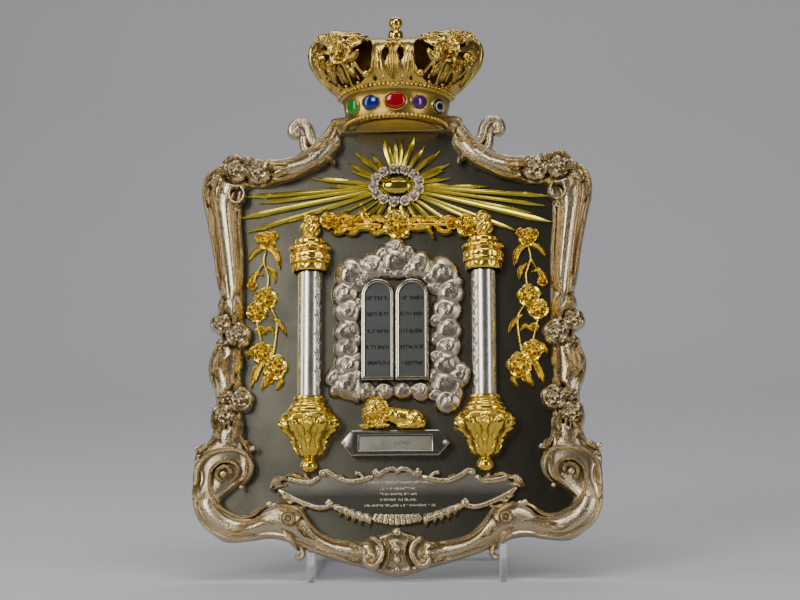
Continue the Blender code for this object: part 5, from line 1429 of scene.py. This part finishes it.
class SHIELD_OT_tablets(bpy.types.Operator):
    """Builds the two tablets with their rims and worn strokes"""

    bl_idname = "shield.tablets"
    bl_label = "Tablets"

    def execute(self, context):
        front = TABLET_BACK + 5.0 * MM
        insets = [inset for inset, _ in TABLET_LEVELS]
        rises = [TABLET_BACK, *(front - depth * MM for _, depth in TABLET_LEVELS[1:])]
        slate = metal("tablet slate", (0.12, 0.125, 0.12), (0.06, 0.062, 0.06), 0.4, 0.55, 0.0, 0.0, 0.8, 0.2,
                      cloud_scale=70.0)
        pale = metal("tablet rim", (0.55, 0.5, 0.38), (0.17, 0.14, 0.09), 0.2, 0.4, 0.2, 1.4, 0.5, 0.2)
        ink = metal("tablet strokes", (0.012,) * 3, (0.006,) * 3, 0.5, 0.6, 0.0, 0.0, 0.2, 0.0)
        for name, middle in (("left", -13.7), ("right", 11.3)):
            bm = bmesh.new()

            def place(s, t):
                step = t * (len(insets) - 1)
                inset = np.interp(step, range(len(insets)), insets)
                w = np.interp(step, range(len(insets)), rises)
                radius = 12.0 - inset
                arch = TABLET_ARCH
                low = np.minimum(TABLET_FOOT + inset, arch)
                rise = np.clip((s - 0.2) / 0.3, 0, 1)
                fall = np.clip((s - 0.7) / 0.3, 0, 1)
                turn = np.clip((s - 0.5) / 0.2, 0, 1) * np.pi
                u = np.where(s < 0.2, radius * (10 * s - 1), radius * np.cos(turn))
                v = np.where(s < 0.2, low, np.where(s < 0.5, low + (arch - low) * rise, np.where(
                    s < 0.7, arch + radius * np.sin(turn), arch + (low - arch) * fall)))
                return raised(middle + u, v, w)

            sheet(bm, 120, len(insets) - 1, place, True)
            piece = finish(f"tablet_{name}_plate", bm, slate, [f"tablet_{name}"], sharp=35)
            piece.data.materials.append(pale)
            to_plane = TO_ROOM.inverted()
            for polygon in piece.data.polygons:
                if (to_plane @ polygon.center).z > front - 1.3 * MM:
                    polygon.material_index = 1
            bm = bmesh.new()
            for i, v in enumerate(TABLET_LINES):
                seed = 31 + i + int(middle)
                strokes(bm, middle - 8.4, middle + 8.4, v - 2, v + 2, front - 1.55 * MM, 1, seed, (0.5, 3.6))
            finish(f"tablet_{name}_strokes", bm, ink, [], sharp=30)
        return {"FINISHED"}


class SHIELD_OT_lion(bpy.types.Operator):
    """Models the lying lion"""

    bl_idname = "shield.lion"
    bl_label = "Lion"

    def execute(self, context):
        bm = bmesh.new()
        for (u, v, w), radii, lean in LION_MASSES:
            spot = Matrix.Translation(Vector((u, v, w)) * MM) @ Matrix.Rotation(math.radians(lean), 4, "Z")
            shape = Matrix.Diagonal(Vector((*[radius * MM for radius in radii], 1.0)))
            bmesh.ops.create_icosphere(bm, subdivisions=4, radius=1.0, matrix=spot @ shape)
        mesh = bpy.data.meshes.new("lion_mass")
        bm.to_mesh(mesh)
        bm.free()
        body = bpy.data.objects.new("lion_mass", mesh)
        context.scene.collection.objects.link(body)
        remesh = body.modifiers.new("skin", "REMESH")
        remesh.mode = "VOXEL"
        remesh.voxel_size = 0.45 * MM
        smooth = body.modifiers.new("smooth", "SMOOTH")
        smooth.factor = 0.6
        smooth.iterations = 6
        context.view_layer.update()
        evaluated = body.evaluated_get(context.evaluated_depsgraph_get())
        bm = bmesh.new()
        bm.from_mesh(evaluated.to_mesh())
        evaluated.to_mesh_clear()
        bpy.data.objects.remove(body)
        face, mane = (Vector(spot) * MM for spot in ((-18.0, -84.4, 17.0), (-15.2, -84.2, 8.0)))
        for vert in bm.verts:
            away = vert.co - mane
            flat = math.hypot(vert.co.x + 17.0 * MM, vert.co.y + 84.0 * MM)
            if away.length < 15 * MM and (vert.co - face).length > 5.6 * MM and vert.co.x < -4.5 * MM:
                around = math.atan2(away.y, away.x)
                lock = math.sin(12 * around + 700 * flat) * math.cos(1500 * flat + 3 * math.sin(5 * around))
                vert.co += vert.normal * 0.75 * MM * lock
            else:
                fur = math.sin(1900 * vert.co.x + 500 * vert.co.z)
                fur *= math.sin(1500 * vert.co.y - 700 * vert.co.x)
                vert.co += vert.normal * 0.12 * MM * fur
            vert.co.y = max(vert.co.y, -96.85 * MM)
            vert.co.z = max(vert.co.z, 0.2 * MM)
        pearls(bm, LION_EYES)
        roll(bm, ((19.0, -90.5), (20.4, -94.0), (15, -95.6), (8, -95.4)), 1.2, 7 * MM, 13.0 * MM, (0.6, 0.9))
        finish("lion_cast", bm, yellow_gilt(), ["lion"], reach=14 * MM)
        return {"FINISHED"}


class SHIELD_OT_tray(bpy.types.Operator):
    """Finishes the tray and its portion plate"""

    bl_idname = "shield.tray"
    bl_label = "Tray"

    def execute(self, context):
        silver = metal("tray silver", (0.38, 0.35, 0.29), (0.14, 0.12, 0.09), 0.16, 0.32, 0.0, 0.0, 0.8, 0.04,
                       cloud_scale=80.0)
        softened("tray_frame", "tray", 0.0009, silver, 3)
        plate = metal("portion silver", (0.5, 0.47, 0.38), (0.25, 0.22, 0.16), 0.34, 0.45, 0.0, 0.0, 0.8,
                      0.08, cloud_scale=80.0)
        softened("portion_sheet", "portion_plate", 0.0003, plate, 1)
        u, v = TRAY_MIDDLE
        bm = bmesh.new()
        strokes(bm, u - 9.5, u + 11, v - 2.6, v + 2.8, 7.15 * MM, 1, 21, (0.45, 3.6))
        finish("portion_strokes", bm, bright_silver(), [], sharp=30)
        bm = bmesh.new()
        pearls(bm, ((u + 36.4, v, 9.2, 2.0), (u - 37.6, v, 8.6, 2.0)), 3)
        finish("tray_knobs", bm, bright_silver(), [])
        return {"FINISHED"}


class SHIELD_OT_cartouche(bpy.types.Operator):
    """Builds the cartouche with its leafy border and worn strokes"""

    bl_idname = "shield.cartouche"
    bl_label = "Cartouche"

    def execute(self, context):
        # The fade along Z keeps a bright strip at the plate's top and paints it darker below: a painted
        # reflection.
        polished = metal("polished silver", (0.62, 0.58, 0.48), (0.07, 0.064, 0.052), 0.26, 0.36, 0.0, 0.0,
                         0.9, 0.05, cloud_scale=30.0, fade=("Z", PLANE_Z - 0.1295, PLANE_Z - 0.141))
        softened("cartouche_sheet", "cartouche_plate", 0.0002, polished, 1)
        bm = bmesh.new()
        for left, right, low, high, rows, seed in CARTOUCHE_LINES:
            strokes(bm, left, right, low, high, 1.28 * MM, rows, seed, (0.36, 1.9))
        cut = metal("cut strokes", (0.9, 0.82, 0.6), (0.5, 0.42, 0.28), 0.5, 0.6, 0.0, 0.0, 0.3, 0.0)
        finish("cartouche_strokes", bm, cut, [], sharp=30)
        bm = bmesh.new()
        base = 1.4 * MM
        for points, half_width in CARTOUCHE_ROLLS:
            roll(bm, points, half_width * 1.2, base, base + 3.5 * MM, (0.4, 0.8), 0.15)
        for root, middle, tip, half_width in CARTOUCHE_LEAVES:
            leaf(bm, root, middle, tip, half_width * 1.2, base, base + 3.4 * MM, 2)
        for u, v, radius in CARTOUCHE_BEADS:
            pearl(bm, (u * MM, v * MM, base + 2.2 * MM), radius * MM, 2)
        mirror_over(bm)
        for i in range(9):
            u = (i - 4) * 4.1
            gadroon = ((u * 0.86, -157.6), (u, -162), (u * 1.04, -166.0 + 0.012 * u * u))
            roll(bm, gadroon, 2.3, base, base + 3.6 * MM, (0.6, 0.6), 0.2)
        leaf(bm, (0, -128.5), (0, -126), (0, -123.6), 3.0, base, base + 3.6 * MM, 2)
        finish("cartouche_scrolls", bm, silver_cast(), ["cartouche_border"], reach=5 * MM)
        return {"FINISHED"}


class SHIELD_OT_easel(bpy.types.Operator):
    """Finishes the clear easel"""

    bl_idname = "shield.easel"
    bl_label = "Easel"

    def execute(self, context):
        clear = acrylic_material()
        for node in ("easel_left", "easel_right", "easel_rail_upper", "easel_rail_lower"):
            softened(f"{node}_clear", node, 0.0005, clear)
        return {"FINISHED"}


class SHIELD_OT_stage(bpy.types.Operator):
    """Sets the floor, the light and the camera"""

    bl_idname = "shield.stage"
    bl_label = "Stage"

    def execute(self, context):
        settings = context.scene.torah_shield.stage
        bm = bmesh.new()
        bmesh.ops.create_grid(bm, x_segments=1, y_segments=24, size=0.5)
        for vert in bm.verts:
            t = vert.co.y + 0.5
            angle = min(max((t - 0.5) / 0.2, 0.0), 1.0) * math.pi / 2
            run = min(t, 0.5) * 7.4 - 1.3
            rise = max(t - 0.7, 0.0) * 8.0
            y, z = run + 0.8 * math.sin(angle), 0.8 - 0.8 * math.cos(angle) + rise
            vert.co = Vector((vert.co.x * 9.0, y, z))
        mesh = bpy.data.meshes.new("sweep")
        bm.to_mesh(mesh)
        bm.free()
        mesh.shade_smooth()
        mesh.materials.append(stage_material("paper", settings.paper))
        sweep = bpy.data.objects.new("sweep", mesh)
        context.scene.collection.objects.link(sweep)
        for name, spot, aim, extent, power, colour in LIGHTS:
            lamp = bpy.data.lights.new(name, "AREA")
            lamp.shape = "RECTANGLE"
            lamp.size, lamp.size_y = extent
            lamp.energy = power * settings.light
            lamp.color = colour
            lit = bpy.data.objects.new(name, lamp)
            lit.location = spot
            lit.rotation_euler = (Vector(aim) - Vector(spot)).to_track_quat("-Z", "Y").to_euler()
            context.scene.collection.objects.link(lit)
        world = bpy.data.worlds.new("studio")
        world.use_nodes = True
        ground = world.node_tree.nodes["Background"]
        ground.inputs["Color"].default_value = (0.62, 0.61, 0.63, 1.0)
        ground.inputs["Strength"].default_value = 0.16
        context.scene.world = world
        self.camera(context)
        return {"FINISHED"}

    def camera(self, context):
        """Looks at the plane's middle from nearly straight ahead, with a long lens."""
        aim = Vector((0.0, PLANE_Y, PLANE_Z))
        level = math.cos(VIEW_RISE)
        offset = Vector((math.sin(VIEW_TURN) * level, -math.cos(VIEW_TURN) * level, math.sin(VIEW_RISE)))
        forward = -offset.normalized()
        right = forward.cross(Vector((0, 0, 1))).normalized()
        up = right.cross(forward)
        lens = bpy.data.cameras.new("camera")
        lens.sensor_width = 36.0
        lens.lens = VIEW_LENS
        lens.shift_x, lens.shift_y = VIEW_SHIFT
        lens.clip_start = 0.05
        camera = bpy.data.objects.new("camera", lens)
        turned = Matrix((right, up, -forward)).transposed().to_4x4() @ Matrix.Rotation(-VIEW_ROLL, 4, "Z")
        camera.matrix_world = Matrix.Translation(aim + offset * VIEW_DISTANCE) @ turned
        context.scene.collection.objects.link(camera)
        context.scene.camera = camera


OPERATORS = (
    SHIELD_OT_plates, SHIELD_OT_frame, SHIELD_OT_crown, SHIELD_OT_sunburst, SHIELD_OT_flowers,
    SHIELD_OT_columns,
    SHIELD_OT_clouds, SHIELD_OT_tablets, SHIELD_OT_lion, SHIELD_OT_tray, SHIELD_OT_cartouche, SHIELD_OT_easel,
    SHIELD_OT_stage,
)


class SHIELD_PT_panel(bpy.types.Panel):
    """Lists the settings and the pieces"""

    bl_idname = "SHIELD_PT_panel"
    bl_label = "Torah Shield"
    bl_space_type = "VIEW_3D"
    bl_region_type = "UI"
    bl_category = "Torah Shield"

    def draw(self, context):
        settings = context.scene.torah_shield
        for group in ("frame", "crown", "flowers", "sunburst", "columns", "clouds", "stage"):
            box = self.layout.box()
            box.label(text=group.capitalize())
            for label in getattr(settings, group).__annotations__:
                box.prop(getattr(settings, group), label)
        for operator in OPERATORS:
            self.layout.operator(operator.bl_idname)


CLASSES = (
    FrameSettings, CrownSettings, FlowerSettings, SunburstSettings, ColumnSettings, CloudSettings,
    StageSettings,
    ShieldSettings, *OPERATORS, SHIELD_PT_panel,
)


def register():
    """Registers the classes and the scene's settings."""
    for item in CLASSES:
        bpy.utils.register_class(item)
    bpy.types.Scene.torah_shield = PointerProperty(type=ShieldSettings)


def unregister():
    """Takes them out again, in reverse."""
    del bpy.types.Scene.torah_shield
    for item in reversed(CLASSES):
        bpy.utils.unregister_class(item)


def main():
    """Builds every piece and the stage."""
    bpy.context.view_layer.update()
    register()
    for operator in OPERATORS:
        group, name = operator.bl_idname.split(".")
        getattr(getattr(bpy.ops, group), name)()


if __name__ == "__main__":
    main()
